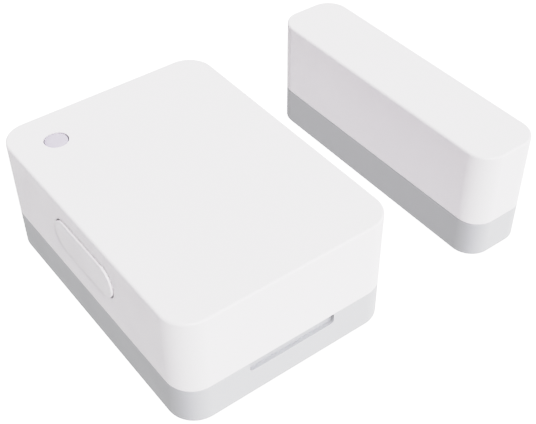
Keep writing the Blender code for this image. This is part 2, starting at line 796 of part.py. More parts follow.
def battery_holder(material):
    """A ring round the cell that hangs from a thin web under the board, open at the back for a fingertip."""
    top = BOARD_BOTTOM - FIT_GAP
    web = top - HOLDER_WEB
    ring = turned(
        "battery_holder",
        [
            (HOLDER_WINDOW, top),
            (HOLDER_RADIUS, top),
            (HOLDER_RADIUS, HOLDER_BOTTOM),
            (HOLDER_BORE, HOLDER_BOTTOM),
            (HOLDER_BORE, web),
            (HOLDER_WINDOW, web),
        ],
        (0, CELL_Y, 0),
        material,
    )
    height, middle = span(HOLDER_BOTTOM - PAST, web - FIT_GAP / 2)
    finger = block("finger_notch", (*FINGER_NOTCH, height), (0, CELL_Y + HOLDER_RADIUS, middle))
    gap_z = HOLDER_BOTTOM + CONTACT_GAP[2] / 4
    gap = block("contact_gap", CONTACT_GAP, (-HOLDER_RADIUS, CELL_Y, gap_z))
    cut(ring, finger, gap)
    return ring


def battery_contacts(metal):
    top = BOARD_BOTTOM - FIT_GAP
    leaf_x = -CELL_RADIUS - LEAF_GAP - CONTACT_SHEET / 2
    height, middle = span(CELL_BOTTOM + LEAF_LIFT, top)
    positive = block(
        "battery_positive_contact",
        (CONTACT_SHEET, LEAF_WIDTH, height),
        (leaf_x, CELL_Y, middle),
        metal,
        corner=CONTACT_CORNER,
        axis=0,
        steps=SOFT_STEPS,
    )
    foot_length, foot_width = LEAF_FOOT
    length, middle = span(leaf_x - foot_length, leaf_x + CONTACT_SHEET / 2)
    spot = (middle, CELL_Y, top - CONTACT_SHEET / 2)
    fuse(positive, block("positive_foot", (length, foot_width, CONTACT_SHEET), spot))

    arm_z = (CELL_TOP + BOARD_BOTTOM) / 2
    spot = (0, CELL_Y, arm_z)
    arm = (ARM_LENGTH, ARM_WIDTH, ARM_SHEET)
    rounding = {"corner": CONTACT_CORNER, "steps": SOFT_STEPS}
    negative = block("battery_negative_contact", arm, spot, metal, **rounding)
    cross = block("negative_cross", (ARM_WIDTH, ARM_LENGTH, ARM_SHEET), spot, **rounding)
    fuse(negative, cross)
    return positive, negative


# Magnet


def magnet_inside(metal, foam):
    spot = (MAGNET_X + BAR_X, 0, BAR_BOTTOM + BAR_SIZE[2] / 2)
    bar = block("magnet_bar", BAR_SIZE, spot, metal, corner=BAR_CORNER, axis=1, steps=CRISP_STEPS)
    low = BAR_BOTTOM + BAR_SIZE[2] + FIT_GAP
    height, middle = span(low, CEILING_Z - FIT_GAP)
    foam_strip = block("magnet_foam", (BAR_SIZE[0], FOAM_LENGTH, height), (MAGNET_X + BAR_X, 0, middle), foam)
    return bar, foam_strip


def make_palette():
    return {
        "cover_white": surface("cover_white", (0.86, 0.86, 0.87), 0.42),
        "base_grey": surface("base_grey", (0.62, 0.63, 0.65), 0.45),
        "window_smoke": surface("window_smoke", (0.74, 0.72, 0.78), 0.25),
        "pad_foam": surface("pad_foam", (0.75, 0.74, 0.70), 0.8),
        "board_green": surface("board_green", (0.02, 0.16, 0.09), 0.35),
        "holder_black": surface("holder_black", (0.03, 0.03, 0.03), 0.5),
        "chip_black": surface("chip_black", (0.03, 0.03, 0.035), 0.4),
        "shield_rubber": surface("shield_rubber", (0.02, 0.02, 0.02), 0.9),
        "steel": surface("steel", (0.62, 0.62, 0.63), 0.3, 1.0),
        "contact_metal": surface("contact_metal", (0.75, 0.70, 0.60), 0.25, 1.0),
        "cell_metal": surface("cell_metal", (0.70, 0.70, 0.71), 0.25, 1.0),
        "magnet_metal": surface("magnet_metal", (0.55, 0.55, 0.57), 0.2, 1.0),
        "reed_glass": surface("reed_glass", (0.70, 0.85, 0.78), 0.05),
        "capacitor_tan": surface("capacitor_tan", (0.45, 0.33, 0.20), 0.5),
        "antenna_ceramic": surface("antenna_ceramic", (0.75, 0.78, 0.80), 0.4),
        "led_white": surface("led_white", (0.85, 0.83, 0.70), 0.4),
    }


def main():
    global PARTS, CUTTERS
    clear_scene()
    PARTS = new_collection("door_contact_sensor")
    CUTTERS = new_collection("cutters")
    palette = make_palette()

    adhesive_pad("sensor_adhesive_pad", SENSOR_PAD, 0, palette["pad_foam"])
    sensor_base(palette["base_grey"])

    housing = [
        sensor_housing(palette["cover_white"]),
        window_light_pipe(palette["window_smoke"]),
        light_shield(palette["shield_rubber"]),
        main_board(palette["board_green"]),
        battery_holder(palette["holder_black"]),
        *battery_contacts(palette["contact_metal"]),
        *board_chips(palette),
    ]
    for number, (x, y) in enumerate(BOSS_SPOTS, 1):
        housing.append(board_screw(number, x, y, palette["steel"]))
    button = side_button(palette["cover_white"])
    switch = tactile_switch(palette["holder_black"], palette["steel"], palette["cover_white"])
    body, frame, plunger = switch
    tube, fixed, lead, moving = reed_switch(palette["reed_glass"], palette["contact_metal"])
    cell = coin_cell(palette["cell_metal"], palette["holder_black"])
    housing += [body, frame, tube, fixed, lead]

    white = palette["cover_white"]
    magnet = [
        adhesive_pad("magnet_adhesive_pad", MAGNET_PAD, MAGNET_X, palette["pad_foam"]),
        magnet_base(palette["base_grey"]),
        cover_shell("magnet_cover", MAGNET_X, MAGNET_WIDTH, MAGNET_CORNER, MAGNET_WALL, white),
        *magnet_inside(palette["magnet_metal"], palette["pad_foam"]),
    ]

    joint_empty("housing_lift", (0, 0, SEAM_Z), housing)
    joint_empty("button_press", (-SENSOR_WIDTH / 2, BUTTON_Y, BUTTON_Z), [button])
    joint_empty("plunger_press", (SWITCH_FACE_X, BUTTON_Y, BUTTON_Z), [plunger])
    joint_empty("cell_drop", (0, CELL_Y, CELL_BOTTOM), cell)
    joint_empty("reed_flex", (REED_X, BLADE_ROOT, REED_Z + (BLADE_GAP + BLADE_THICK) / 2), [moving])
    joint_empty("door_slide", (MAGNET_X, 0, 0), magnet)


main()
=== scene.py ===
"""The looks of a two-piece door contact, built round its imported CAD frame.

Lengths are in millimetres, and MM turns them into metres where a mesh or a place is set. Each piece is
placed from the box of the CAD node that it stands for, so nothing here moves or resizes the design.
"""

import math

import bmesh
import bpy
from mathutils import Matrix, Vector


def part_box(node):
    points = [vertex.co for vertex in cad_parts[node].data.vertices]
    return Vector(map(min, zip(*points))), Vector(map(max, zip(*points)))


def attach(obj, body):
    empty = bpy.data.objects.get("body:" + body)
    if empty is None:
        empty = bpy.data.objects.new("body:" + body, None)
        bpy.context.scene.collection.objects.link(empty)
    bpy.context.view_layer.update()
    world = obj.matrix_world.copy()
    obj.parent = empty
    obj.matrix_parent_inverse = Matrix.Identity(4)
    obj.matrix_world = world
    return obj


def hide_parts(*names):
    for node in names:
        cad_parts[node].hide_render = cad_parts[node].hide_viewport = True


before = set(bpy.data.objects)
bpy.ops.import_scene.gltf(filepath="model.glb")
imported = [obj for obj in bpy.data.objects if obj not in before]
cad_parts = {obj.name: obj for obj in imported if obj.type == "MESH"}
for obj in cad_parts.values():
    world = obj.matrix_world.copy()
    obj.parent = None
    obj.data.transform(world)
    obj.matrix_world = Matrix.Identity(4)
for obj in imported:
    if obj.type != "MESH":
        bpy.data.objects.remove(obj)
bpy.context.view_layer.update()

MM = 0.001

# Shells, as in the CAD
SENSOR_CORNER, SENSOR_WALL, SENSOR_FLOOR = 3.6, 1.5, 1.6
MAGNET_CORNER, MAGNET_WALL, MAGNET_FLOOR = 3.15, 1.3, 1.5
CEILING = 1.5
TOP_EDGE = 0.3
FOOT_EDGE = 0.15
BREAK = 0.09
BEVEL = 0.1
INNER_ROUND, INNER_MID = 0.4, 0.12
SEAM_CREEP = 0.035
LIP_INSET, LIP_RISE, LIP_GAP = 0.9, 0.8, 0.1
PAD_THICK, PAD_GAP, PAD_CORNER, PAD_EDGES = 0.75, 0.15, 2.0, (0.12, 0.05)

# Snap tongues: each is a plate on a root that enters the wall, with a ridge across it
TONGUE_THICK, TONGUE_GAP, TONGUE_TOP, TONGUE_CORNER, TONGUE_EDGE = 0.9, 0.3, 7.4, 0.3, 0.15
ROOT_BITE, ROOT_SHORT, ROOT_DROP, ROOT_EDGE = 0.2, 0.9, 0.4, 0.1
RIDGE_TIP, RIDGE_RADIUS, RIDGE_HEIGHT, RIDGE_INSETS = 0.06, 0.24, 6.7, (0.9, 1.2)
SENSOR_TONGUE, SENSOR_TONGUE_Y, END_TONGUE = 6.0, (12.5, -12.5), 8.0
MAGNET_TONGUE, MAGNET_TONGUE_Y = 4.0, (15.0, -15.0)

# Ribs under the cell, and posts under the magnet
RIBS, RIB, RIB_GAP, RIB_CORNER, RIB_EDGE = ((4.5, -1.5), (-4.5, -1.5)), (1.0, 13.0), 0.2, 0.45, 0.15
POST_Y, POST_THICK, POST_GAP, POST_CORNER, POST_EDGE = (8.0, -8.0), 1.6, 0.1, 0.3, 0.1

# Screw bosses with their pilot holes, and the collar and seat of the light pipe
BOSSES = ((9.9, 15.6), (9.9, -15.6), (-9.9, -15.6))
BOSS_RADII, BOSS_FLARE, BOSS_BITE = (1.6, 1.7, 1.85, 2.1), 0.6, 0.3
PILOT_WIDE, PILOT_NARROW, PILOT_TOP, PILOT_TAPER = 0.95, 0.7, 13.2, (0.25, 0.5)
COLLAR_RADIUS, COLLAR_FOOT, SEAT_FOOT = 2.9, 13.4, 12.0

# Holes in the shells. A cutter stands out of what it cuts by PAST.
PAST = 1.0
HOLE_EDGE = 0.05
WINDOW_HOLE, WINDOW_CUT, WINDOW_EDGE = 1.57, 3.0, 0.03
BUTTON_CLEARANCE, BUTTON_CUT = 0.12, 2.2
NOTCH_LENGTH, NOTCH_HEIGHT, NOTCH_DEPTH, NOTCH_CORNER = 12.1, 1.45, 0.5, 0.5

# Side key: FLANGE_MARGINS is how much longer and higher its flange is than its face
FLANGE_MARGINS, FLANGE_BACK, FLANGE_EDGE = (1.6, 1.14), 0.8, 0.1
KEY_EDGE = 0.1
KEY_CROWN, CROWN_REACH, CROWN_INSETS = 0.03, 2, (0.5, 0.9, 1.4, 1.9)
KEY_POST, KEY_POST_EDGE, KEY_POST_BITE = (2.4, 1.6), 0.2, 0.2

# Light pipe and its sleeve
PIPE_RADIUS, PIPE_FLANGE, PIPE_EDGE = 1.4, 0.7, 0.08
LENS_GAP, LENS_SINK, LENS_EDGE, LENS_MID = 0.07, 0.1, 0.14, (0.04, 0.05)
SLEEVE_BORE, SLEEVE_RADIUS = 1.9, 2.9

# Board: its outline, and how far copper and solder stand above it
BOARD_LIFT, SOLDER_LIFT = 0.02, 0.1
BOARD_CORNER, BOARD_EDGE, BOARD_HOLE = 1.8, 0.03, 0.85
BOARD_NOTCH, BOARD_NOTCH_CORNER = (0.8, 7.6), 0.7
CHIP_EDGES, SWITCH_EDGES, CAP_PROUD = (0.06, 0.05), (0.2, 0.12), 0.05
SMALL_CHIPS = (1, 2, 3, 4)

# Pads in rows along two sides of a part: node, number, pitch, reach from its middle, size and axis
PAD_ROWS = [
    ("wireless_chip", 8, 0.5, 2.6, (0.7, 0.26), 0),
    ("wireless_chip", 8, 0.5, 2.6, (0.26, 0.7), 1),
    ("crystal", 2, 1.7, 1.3, (1.2, 0.9), 0),
    ("switch_body", 2, 3.0, 1.9, (0.9, 0.7), 0),
    ("status_led", 1, 0, 0.75, (0.9, 0.5), 1),
    ("light_sensor", 1, 0, 0.75, (1.2, 0.5), 1),
    ("supply_capacitor", 1, 0, 1.6, (1.1, 2.4), 0),
    ("chip_antenna", 1, 0, 3.3, (1.0, 2.3), 0),
]
PAD_ROWS += [(f"ceramic_capacitor_{number}", 1, 0, 0.75, (0.95, 0.6), 1) for number in SMALL_CHIPS]
PAD_ROWS += [(f"chip_resistor_{number}", 1, 0, 0.75, (0.6, 0.95), 0) for number in SMALL_CHIPS]
PAD_METAL, RING_BORE, RING_RADIUS = 0.06, 0.9, 1.65
REED_PAD_Y, REED_PAD, REED_PAD_CORNER = 10.9, (1.7, 2.0), 0.3
TEST_PADS, TEST_PAD, TEST_PAD_START, TEST_PAD_STEP, TEST_PAD_CORNER = 6, (1.1, 1.1), (-7.5, -13.8), 1.7, 0.54

# Traces with one bend, from the wireless chip: the pin's offset, the other part and the offset there
CHIP_TRACES = (
    ((-3.0, -1.25), "ceramic_capacitor_3", (0, -0.75)),
    ((-3.0, 1.25), "ceramic_capacitor_4", (0, -0.75)),
    ((3.0, -1.25), "ceramic_capacitor_1", (0, -0.75)),
    ((3.0, 1.25), "ceramic_capacitor_2", (0, -0.75)),
    ((-0.75, -3.0), "crystal", (-1.275, 1.3)),
    ((0.75, -3.0), "crystal", (1.275, 1.3)),
    ((-1.25, 3.0), "chip_resistor_1", (0.75, -0.5)),
    ((-0.75, 3.0), "chip_resistor_2", (0.75, -0.5)),
    ((1.55, -3.0), "chip_resistor_3", (0, 0.5)),
    ((1.65, -3.0), "chip_resistor_4", (0, 0.5)),
    ((0.75, 3.0), "chip_antenna", (-3.3, -1.2)),
    ((-3.0, -0.75), "switch_body", (1.9, 1.5)),
    ((-3.0, -1.75), "switch_body", (1.9, -1.5)),
)
# The light's trace, those that reach the reed switch, and those of the supply
LIGHT_PINS = (-0.75, 0.3), (0, -0.9)
REED_PIN, CHIP_TO_REED = (3.0, 0.25), ((7.6, 8.9), (9.0, 10.3))
SUPPLY_TO_REED, REED_END = ((5.6, -6.5), (6.6, -6.5), (8.2, -8.1), (8.2, -9.6)), (-0.6, -10.4)
SUPPLY_PINS = (((1.6, 0), (2.0, -6.9)), ((-1.6, -0.5), (-7.5, -13.3)))
TRACE_WIDTH, PRINT_WIDTH = 0.2, 0.14

# Rows of vias: the first spot, the step and how many. Then the radii of a via's rings.
VIA_ROWS = (((-4.5, 13.6), (1.5, 0), 9), ((-2.6, 7.9), (1.3, 0), 5), ((-6.4, -8.0), (0, 1.6), 6))
VIA_RADII = 0.24, 0.28, 0.12, 0.08

# Printed corners: the node, and how far outside it they stand
PRINTED = (
    ("wireless_chip", 0.75),
    ("crystal", 0.45),
    ("chip_antenna", 0.45),
    ("supply_capacitor", 0.45),
    ("switch_body", 0.7),
)
PRINT_LEG, PIN_DOT, PIN_DOT_OFFSET = 0.45, 0.2, (-3.6, 3.6)

# Parts on the board, the screws, the cell and the reed switch
CHIP_LEADS, CHIP_PITCH, CHIP_LEAD, DIMPLE_INSET = 8, 0.5, (0.4, 0.24, 0.2), 0.7
TRACK_START, TRACK_STEP, TRACK_RUNS, TRACK_FOLD, TRACK_WIDTH = -2.5, 0.7, 8, 0.75, 0.18
SCREW_STEPS, HEAD_HEIGHT, RECESS = 30, 0.9, ((0.78, 0.2, -0.2), (0.62, 0.17, 0.25), (0.2, 0.1, 0.5))
HEAD = (0.7, 0.0), (1.05, 0.08), (1.3, 0.3), (1.4, 0.6), (1.4, HEAD_HEIGHT)
THREAD_ROWS, THREAD_PITCH, THREAD_ROOT, THREAD_CREST, THREAD_END = 60, 0.5, 0.45, 0.6, 0.3
SHEET, LEAF = 0.22, 0.18
PLUS_ARM = 3.2, 0.7, 0.16
HOLDER_GAP, HOLDER_WALL, HOLDER_WEB, HOLDER_OPENING = 0.2, 1.1, 0.2, 5.0
HOLDER_RIBS, RIB_LIMIT = 10, 0.9
WIRE_RADIUS, BLADE_START, LEAD_START = 0.24, 5.5, 6.05

# Light: the room's mean brightness, how much brighter it is towards +X, +Y and +Z, and the key light
ROOM = 0.955
ROOM_TILT = (0.46, 0.03, -0.2)
KEY_LIGHT = 1.9
KEY_SIDE, KEY_HEIGHT, KEY_SOFTNESS = math.radians(-14), math.radians(45), math.radians(5)
FLOOR_GLOW, FLOOR_HALF = 1.3, 4.0
WHITEST = 1.8
SHOULDER = ((0.5, 0.5), (0.75, 0.765), (1.08, 0.878))

# Camera
CAMERA_AZIMUTH, CAMERA_ELEVATION = math.radians(-37.774), math.radians(42.734)
CAMERA_ROLL = math.radians(0.369)
CAMERA_TARGET, CAMERA_DISTANCE = (14.91, 0.59, 0.48), 137.32
CAMERA_LENS, CAMERA_SENSOR, CAMERA_SHIFT, CAMERA_CLIP = 67.753, 36.0, (-0.0296, 0.0102), (0.005, 20.0)

# Meshes: the steps of a quarter turn, and the limits that keep a shape sound
ARC = 14
SMALL_ARC = 4
EDGE_STEPS = 5
LEAST_RADIUS = 0.02
CORNER_MARGIN = 1.01
MITRE_LIMIT = 0.5
SMOOTH_ANGLE = math.radians(32)
SIDES = (-1, 1)

# Colours, linear
WHITE_SHELL = (0.800, 0.780, 0.797)
GREY_SHELL = (0.530, 0.530, 0.545)
WINDOW_TINT = (0.612, 0.581, 0.656)
SHEEN = {"Specular_IOR_Level": 0.35}
CLOUDY = {"Transmission_Weight": 0.12, "Coat_Weight": 0.5}
TARNISH = 0.07

# Moulded finishes: material name, colour, roughness, grain size, grain depth and spread of the colour
MOULDED = {
    "trace": ("masked_copper", (0.014, 0.19, 0.085), 0.28, 0.3, 0.001, 0.08),
    "legend": ("board_legend", (0.78, 0.78, 0.75), 0.6, 0.1, 0.004, 0.05),
    "black": ("holder_black", (0.022, 0.022, 0.024), 0.5, 0.15, 0.004, 0.15),
    "epoxy": ("chip_epoxy", (0.026, 0.026, 0.029), 0.44, 0.08, 0.005, 0.2),
    "rubber": ("shield_rubber", (0.018, 0.018, 0.018), 0.8, 0.2, 0.01, 0.2),
    "tan": ("ceramic_tan", (0.40, 0.27, 0.16), 0.5, 0.1, 0.004, 0.12),
    "yellow": ("tantalum_case", (0.62, 0.40, 0.07), 0.42, 0.1, 0.003, 0.06),
    "alumina": ("alumina", (0.80, 0.79, 0.76), 0.45, 0.1, 0.003, 0.04),
    "antenna": ("antenna_ceramic", (0.68, 0.71, 0.75), 0.4, 0.1, 0.003, 0.04),
    "ivory": ("plunger_ivory", (0.74, 0.71, 0.62), 0.4, 0.1, 0.002, 0.03),
    "phosphor": ("led_phosphor", (0.78, 0.62, 0.10), 0.3, 0.06, 0.002, 0.08),
    "lens": ("sensor_lens", (0.05, 0.045, 0.06), 0.12, 0.3, 0.001, 0.1),
}
# Metal finishes: material name, colour, roughness, stretch of the marks, their size and their depth
EVEN = (1.0, 1.0, 1.0)
METALS = {
    "gold": ("gold_pads", (0.86, 0.62, 0.28), 0.26, EVEN, 0.3, 0.0015),
    "solder": ("solder", (0.66, 0.67, 0.69), 0.28, EVEN, 0.5, 0.01),
    "steel": ("stamped_steel", (0.60, 0.60, 0.61), 0.30, (1.0, 9.0, 9.0), 0.3, 0.0015),
    "zinc": ("zinc_screw", (0.58, 0.59, 0.60), 0.27, EVEN, 0.15, 0.0015),
    "spring": ("spring_contact", (0.72, 0.66, 0.54), 0.25, (9.0, 1.0, 9.0), 0.3, 0.0015),
    "blade": ("reed_blade_metal", (0.62, 0.60, 0.57), 0.24, (9.0, 1.0, 9.0), 0.3, 0.0015),
    "magnet": ("magnet_nickel", (0.66, 0.65, 0.62), 0.16, EVEN, 0.8, 0.002),
}


# Meshes


def outline(half_x, half_y, radius, z, steps=ARC):
    """The points of a rounded rectangle, anticlockwise. A radius equal to both half sizes makes a circle."""
    points = []
    for quarter, (side_x, side_y) in enumerate(((1, 1), (-1, 1), (-1, -1), (1, -1))):
        for step in range(steps + 1):
            angle = math.pi / 2 * (quarter + step / steps)
            x = side_x * (half_x - radius) + radius * math.cos(angle)
            y = side_y * (half_y - radius) + radius * math.sin(angle)
            points.append((x, y, z))
    return points


def stack(half_x, half_y, radius, profile, steps=ARC):
    """One outline for each (inset, height) of the profile. A negative inset stands outside the rectangle."""
    return [
        outline(half_x - inset, half_y - inset, max(radius - inset, LEAST_RADIUS), z, steps)
        for inset, z in profile
    ]


def quarter_turn(steps, first=0):
    """The angles of a quarter turn."""
    return [math.pi / 2 * step / steps for step in range(first, steps + 1)]


def rounded(bottom, top, foot=0.0, rim=0.0, steps=EDGE_STEPS):
    """The (inset, height) profile of a block whose bottom and top edges have these radii."""
    turns = quarter_turn(steps)
    low = [(foot * (1 - math.sin(turn)), bottom + foot * (1 - math.cos(turn))) for turn in turns]
    high = [(rim * (1 - math.cos(turn)), top - rim * (1 - math.sin(turn))) for turn in turns]
    return (low if foot else [(0.0, bottom)]) + (high if rim else [(0.0, top)])


def add_rings(bm, rings, place=Matrix(), loop=False):
    """Skins the rings into a closed body, capped at both ends unless the last ring meets the first."""
    rows = [[bm.verts.new(place @ (Vector(point) * MM)) for point in ring] for ring in rings]
    pairs = list(zip(rows, rows[1:]))
    if loop:
        pairs.append((rows[-1], rows[0]))
    made = []
    for low, high in pairs:
        for index in range(len(low)):
            corners = (low[index - 1], low[index], high[index], high[index - 1])
            made.append(bm.faces.new(corners))
    if not loop:
        made.append(bm.faces.new(rows[0]))
        made.append(bm.faces.new(rows[-1]))
    bmesh.ops.recalc_face_normals(bm, faces=made)


def add_block(bm, size, centre, corner=0.05, edge=0.05, place=Matrix(), steps=SMALL_ARC):
    """A block centred on a place, with this radius on its upright edges and round its top and bottom."""
    half_x, half_y, half_z = (side / 2 for side in size)
    profile = rounded(-half_z, half_z, edge, edge, SMALL_ARC)
    rings = stack(half_x, half_y, max(corner, edge * CORNER_MARGIN), profile, steps)
    add_rings(bm, rings, place @ Matrix.Translation(Vector(centre) * MM))


def add_turned(bm, profile, place=Matrix(), steps=64, loop=False):
    """Turns (radius, height) points about Z."""
    angles = [math.tau * step / steps for step in range(steps)]
    spokes = [(math.cos(angle), math.sin(angle)) for angle in angles]
    add_rings(bm, [[(radius * x, radius * y, z) for x, y in spokes] for radius, z in profile], place, loop)


def add_ribbon(bm, points, width, bottom, top):
    """A flat strip along the points, mitred where it bends."""
    path = [Vector((x, y)) for x, y in points]
    rows = []
    for index, point in enumerate(path):
        before = (point - path[index - 1]).normalized() if index else None
        after = (path[index + 1] - point).normalized() if index + 1 < len(path) else None
        run = (before or after) + (after or before)
        run.normalize()
        side = Vector((-run.y, run.x)) * width / 2
        if before and after:
            side /= max(run.dot(after), MITRE_LIMIT)
        left, right = point + side, point - side
        corners = ((left, bottom), (right, bottom), (right, top), (left, top))
        rows.append([bm.verts.new(Vector((at.x, at.y, z)) * MM) for at, z in corners])
    made = [bm.faces.new(rows[0]), bm.faces.new(rows[-1])]
    for low, high in zip(rows, rows[1:]):
        for index in range(4):
            made.append(bm.faces.new((low[index - 1], low[index], high[index], high[index - 1])))
    bmesh.ops.recalc_face_normals(bm, faces=made)


def add_wire(bm, points, radius, steps=ARC):
    """A round wire through points that lie in one YZ plane."""
    path = [Vector(point) for point in points]
    across = Vector((1, 0, 0))
    angles = [math.tau * step / steps for step in range(steps)]
    rings = []
    for index, point in enumerate(path):
        run = (path[min(index + 1, len(path) - 1)] - path[max(index - 1, 0)]).normalized()
        up = run.cross(across)
        rings.append([tuple(point + (across * math.cos(a) + up * math.sin(a)) * radius) for a in angles])
    add_rings(bm, rings)


def facing(direction, centre=(0, 0, 0)):
    """A place whose own Z looks along the direction, and whose own Y is up where it can be."""
    columns = {
        "up": ((1, 0, 0), (0, 1, 0), (0, 0, 1)),
        "left": ((0, -1, 0), (0, 0, 1), (-1, 0, 0)),
        "front": ((1, 0, 0), (0, 0, 1), (0, -1, 0)),
    }[direction]
    return Matrix.Translation(Vector(centre) * MM) @ Matrix(columns).transposed().to_4x4()


def upright(x, y, z=0, turn=0.0):
    """A place that stands upright on this spot, turned about its own Z."""
    return facing("up", (x, y, z)) @ Matrix.Rotation(turn, 4, "Z")


def link(name, data):
    """An object in the scene, with this mesh, light or camera."""
    obj = bpy.data.objects.new(name, data)
    bpy.context.scene.collection.objects.link(obj)
    return obj


def new_object(name, bm):
    mesh = bpy.data.meshes.new(name)
    bm.to_mesh(mesh)
    bm.free()
    return link(name, mesh)


def shape(add, *args, **settings):
    """A mesh with one body in it."""
    bm = bmesh.new()
    add(bm, *args, **settings)
    return bm


def tool(add, *args, **settings):
    """A body for carve() to cut with or to join."""
    return new_object("tool", shape(add, *args, **settings))


def carve(obj, tools, operation="DIFFERENCE"):
    """Cuts the tools out of the object, or joins them to it, and removes them."""
    for tool in tools:
        modifier = obj.modifiers.new(tool.name, "BOOLEAN")
        modifier.operation = operation
        modifier.object = tool
    graph = bpy.context.evaluated_depsgraph_get()
    mesh = bpy.data.meshes.new_from_object(obj.evaluated_get(graph))
    obj.modifiers.clear()
    obj.data = mesh
    for tool in tools:
        bpy.data.objects.remove(tool, do_unlink=True)


def hole_rings(half_x, half_y, radius, depth, edge=HOLE_EDGE):
    """A cutter that enters from above. Its mouth flares, which rounds the hole's edge."""
    profile = [(0.0, -depth), (0.0, -edge)]
    turns = quarter_turn(EDGE_STEPS, 1)
    profile += [(-edge * (1 - math.cos(turn)), -edge * (1 - math.sin(turn))) for turn in turns]
    profile.append((-edge, PAST))
    return stack(half_x, half_y, radius, profile)


def finish_piece(obj, finish, body, slot, *nodes):
    """Shades a piece, gives it its material and its body, and hides the CAD nodes that it stands for."""
    obj.data.materials.clear()
    obj.data.materials.append(FINISHES[finish])
    obj.data.shade_smooth()
    obj.data.set_sharp_from_angle(angle=SMOOTH_ANGLE)
    weighted = obj.modifiers.new("weighted normals", "WEIGHTED_NORMAL")
    weighted.keep_sharp = True
    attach(obj, body)
    if nodes:
        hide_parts(*nodes)
    return obj


def make_piece(name, bm, finish, body, slot, *nodes):
    return finish_piece(new_object(name, bm), finish, body, slot, *nodes)


def extent(node):
    """(centre, size) of a CAD node's box, in millimetres."""
    low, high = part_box(node)
    return (low + high) / (2 * MM), (high - low) / MM


def level(node):
    """(lowest, highest) height of a CAD node, in millimetres."""
    low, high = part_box(node)
    return low.z / MM, high.z / MM


def block_piece(name, node, edges, finish, body, slot, cuts=()):
    """A piece as large as its CAD node, with these radii on its upright and on its other edges."""
    centre, size = extent(node)
    block = new_object(name, shape(add_block, size, centre, *edges))
    if cuts:
        carve(block, cuts)
    return finish_piece(block, finish, body, slot, node)


# Materials


class Nodes:
    """A short way to write a material's nodes."""

    def __init__(self, name):
        self.material = bpy.data.materials.new(name)
        self.material.use_nodes = True
        self.tree = self.material.node_tree
        self.shader = self.tree.nodes["Principled BSDF"]
        self.place = self.add("ShaderNodeTexCoord").outputs["Object"]

    def feed(self, socket, value):
        """Links the value to the socket, or sets it there where it is a plain number or colour."""
        if isinstance(value, bpy.types.NodeSocket):
            self.tree.links.new(value, socket)
        else:
            socket.default_value = value

    def add(self, kind, inputs=None, **settings):
        node = self.tree.nodes.new(kind)
        for key, value in settings.items():
            setattr(node, key, value)
        for key, value in (inputs or {}).items():
            self.feed(node.inputs[key], value)
        return node

    def stretched(self, scale):
        return self.add("ShaderNodeMapping", {"Vector": self.place, "Scale": scale}).outputs[0]

    def noise(self, size, detail=2.0, place=None):
        """Noise whose features are about this many millimetres across."""
        inputs = {"Vector": place or self.place, "Scale": 1 / (size * MM), "Detail": detail}
        return self.add("ShaderNodeTexNoise", inputs).outputs[0]

    def spread(self, factor, low, high):
        inputs = {"Value": factor, "From Min": 0.3, "From Max": 0.7, "To Min": low, "To Max": high}
        return self.add("ShaderNodeMapRange", inputs).outputs[0]

    def mix(self, factor, first, second):
        """A colour between the two. Inputs 6 and 7 and output 2 are the node's colour sockets."""
        return self.add("ShaderNodeMix", data_type="RGBA", inputs={0: factor, 6: first, 7: second}).outputs[2]

    def set(self, **sockets):
        for key, value in sockets.items():
            self.feed(self.shader.inputs[key.replace("_", " ")], value)

    def bump(self, height, depth):
        inputs = {"Height": height, "Distance": depth * MM, "Strength": 1.0}
        self.set(Normal=self.add("ShaderNodeBump", inputs).outputs[0])


def tone(colour, factor):
    return tuple(min(channel * factor, 1.0) for channel in colour) + (1.0,)


def drifting(nodes, drift, colours, gloss, rough, height, depth, **sockets):
    """Fills a material in: a drift of colour, a drift of roughness and a relief of this depth."""
    nodes.set(Base_Color=nodes.mix(drift, *colours), Roughness=nodes.spread(gloss, *rough), **sockets)
    nodes.bump(height, depth)
    return nodes


def moulded(name, colour, rough, grain=0.12, depth=0.003, spread=0.012, **sockets):
    """Moulded plastic: a fine spark-eroded grain, and a slow drift of colour and gloss over it."""
    nodes = Nodes(name)
    colours = tone(colour, 1 - spread), tone(colour, 1 + spread)
    slow, gloss, fine = nodes.noise(14.0, 3.0), nodes.noise(4.0, 4.0), nodes.noise(grain)
    reach = rough - 0.04, rough + 0.05
    return drifting(nodes, slow, colours, gloss, reach, fine, depth, **sockets)


def metal(name, colour, rough, along, grain, depth):
    """Plated metal, with drawing marks where the stretch isn't even, and slight tarnish."""
    nodes = Nodes(name)
    marks = nodes.noise(grain, 3.0, nodes.stretched(along))
    colours = tone(colour, 1 - TARNISH), tone(colour, 1 + TARNISH / 3)
    reach = rough - 0.06, rough + 0.09
    return drifting(nodes, nodes.noise(2.5, 4.0), colours, marks, reach, marks, depth, Metallic=1.0)


def foam_finish():
    """Closed-cell foam tape."""
    nodes = Nodes("foam_tape")
    inputs = {"Vector": nodes.place, "Scale": 1 / (0.35 * MM)}
    cells = nodes.add("ShaderNodeTexVoronoi", inputs).outputs["Distance"]
    colours = (0.62, 0.61, 0.57, 1), (0.74, 0.73, 0.69, 1)
    return drifting(nodes, cells, colours, nodes.noise(1.0, 3.0), (0.75, 0.92), cells, 0.03)


def board_finish():
    """Green solder mask, over a glass weave that just shows through."""
    nodes = Nodes("solder_mask")
    bands = {}
    for index, axis in enumerate("XY"):
        inputs = {"Vector": nodes.place, "Scale": 1 / (3.2 * MM), "Distortion": 0.4}
        bands[index] = nodes.add("ShaderNodeTexWave", inputs, bands_direction=axis).outputs[1]
    weave = nodes.add("ShaderNodeMath", bands, operation="MULTIPLY").outputs[0]
    colours = (0.006, 0.085, 0.042, 1), (0.012, 0.125, 0.062, 1)
    gloss, relief = nodes.noise(3.0, 3.0), nodes.noise(0.5)
    return drifting(nodes, weave, colours, gloss, (0.24, 0.34), relief, 0.002, Coat_Weight=0.4)


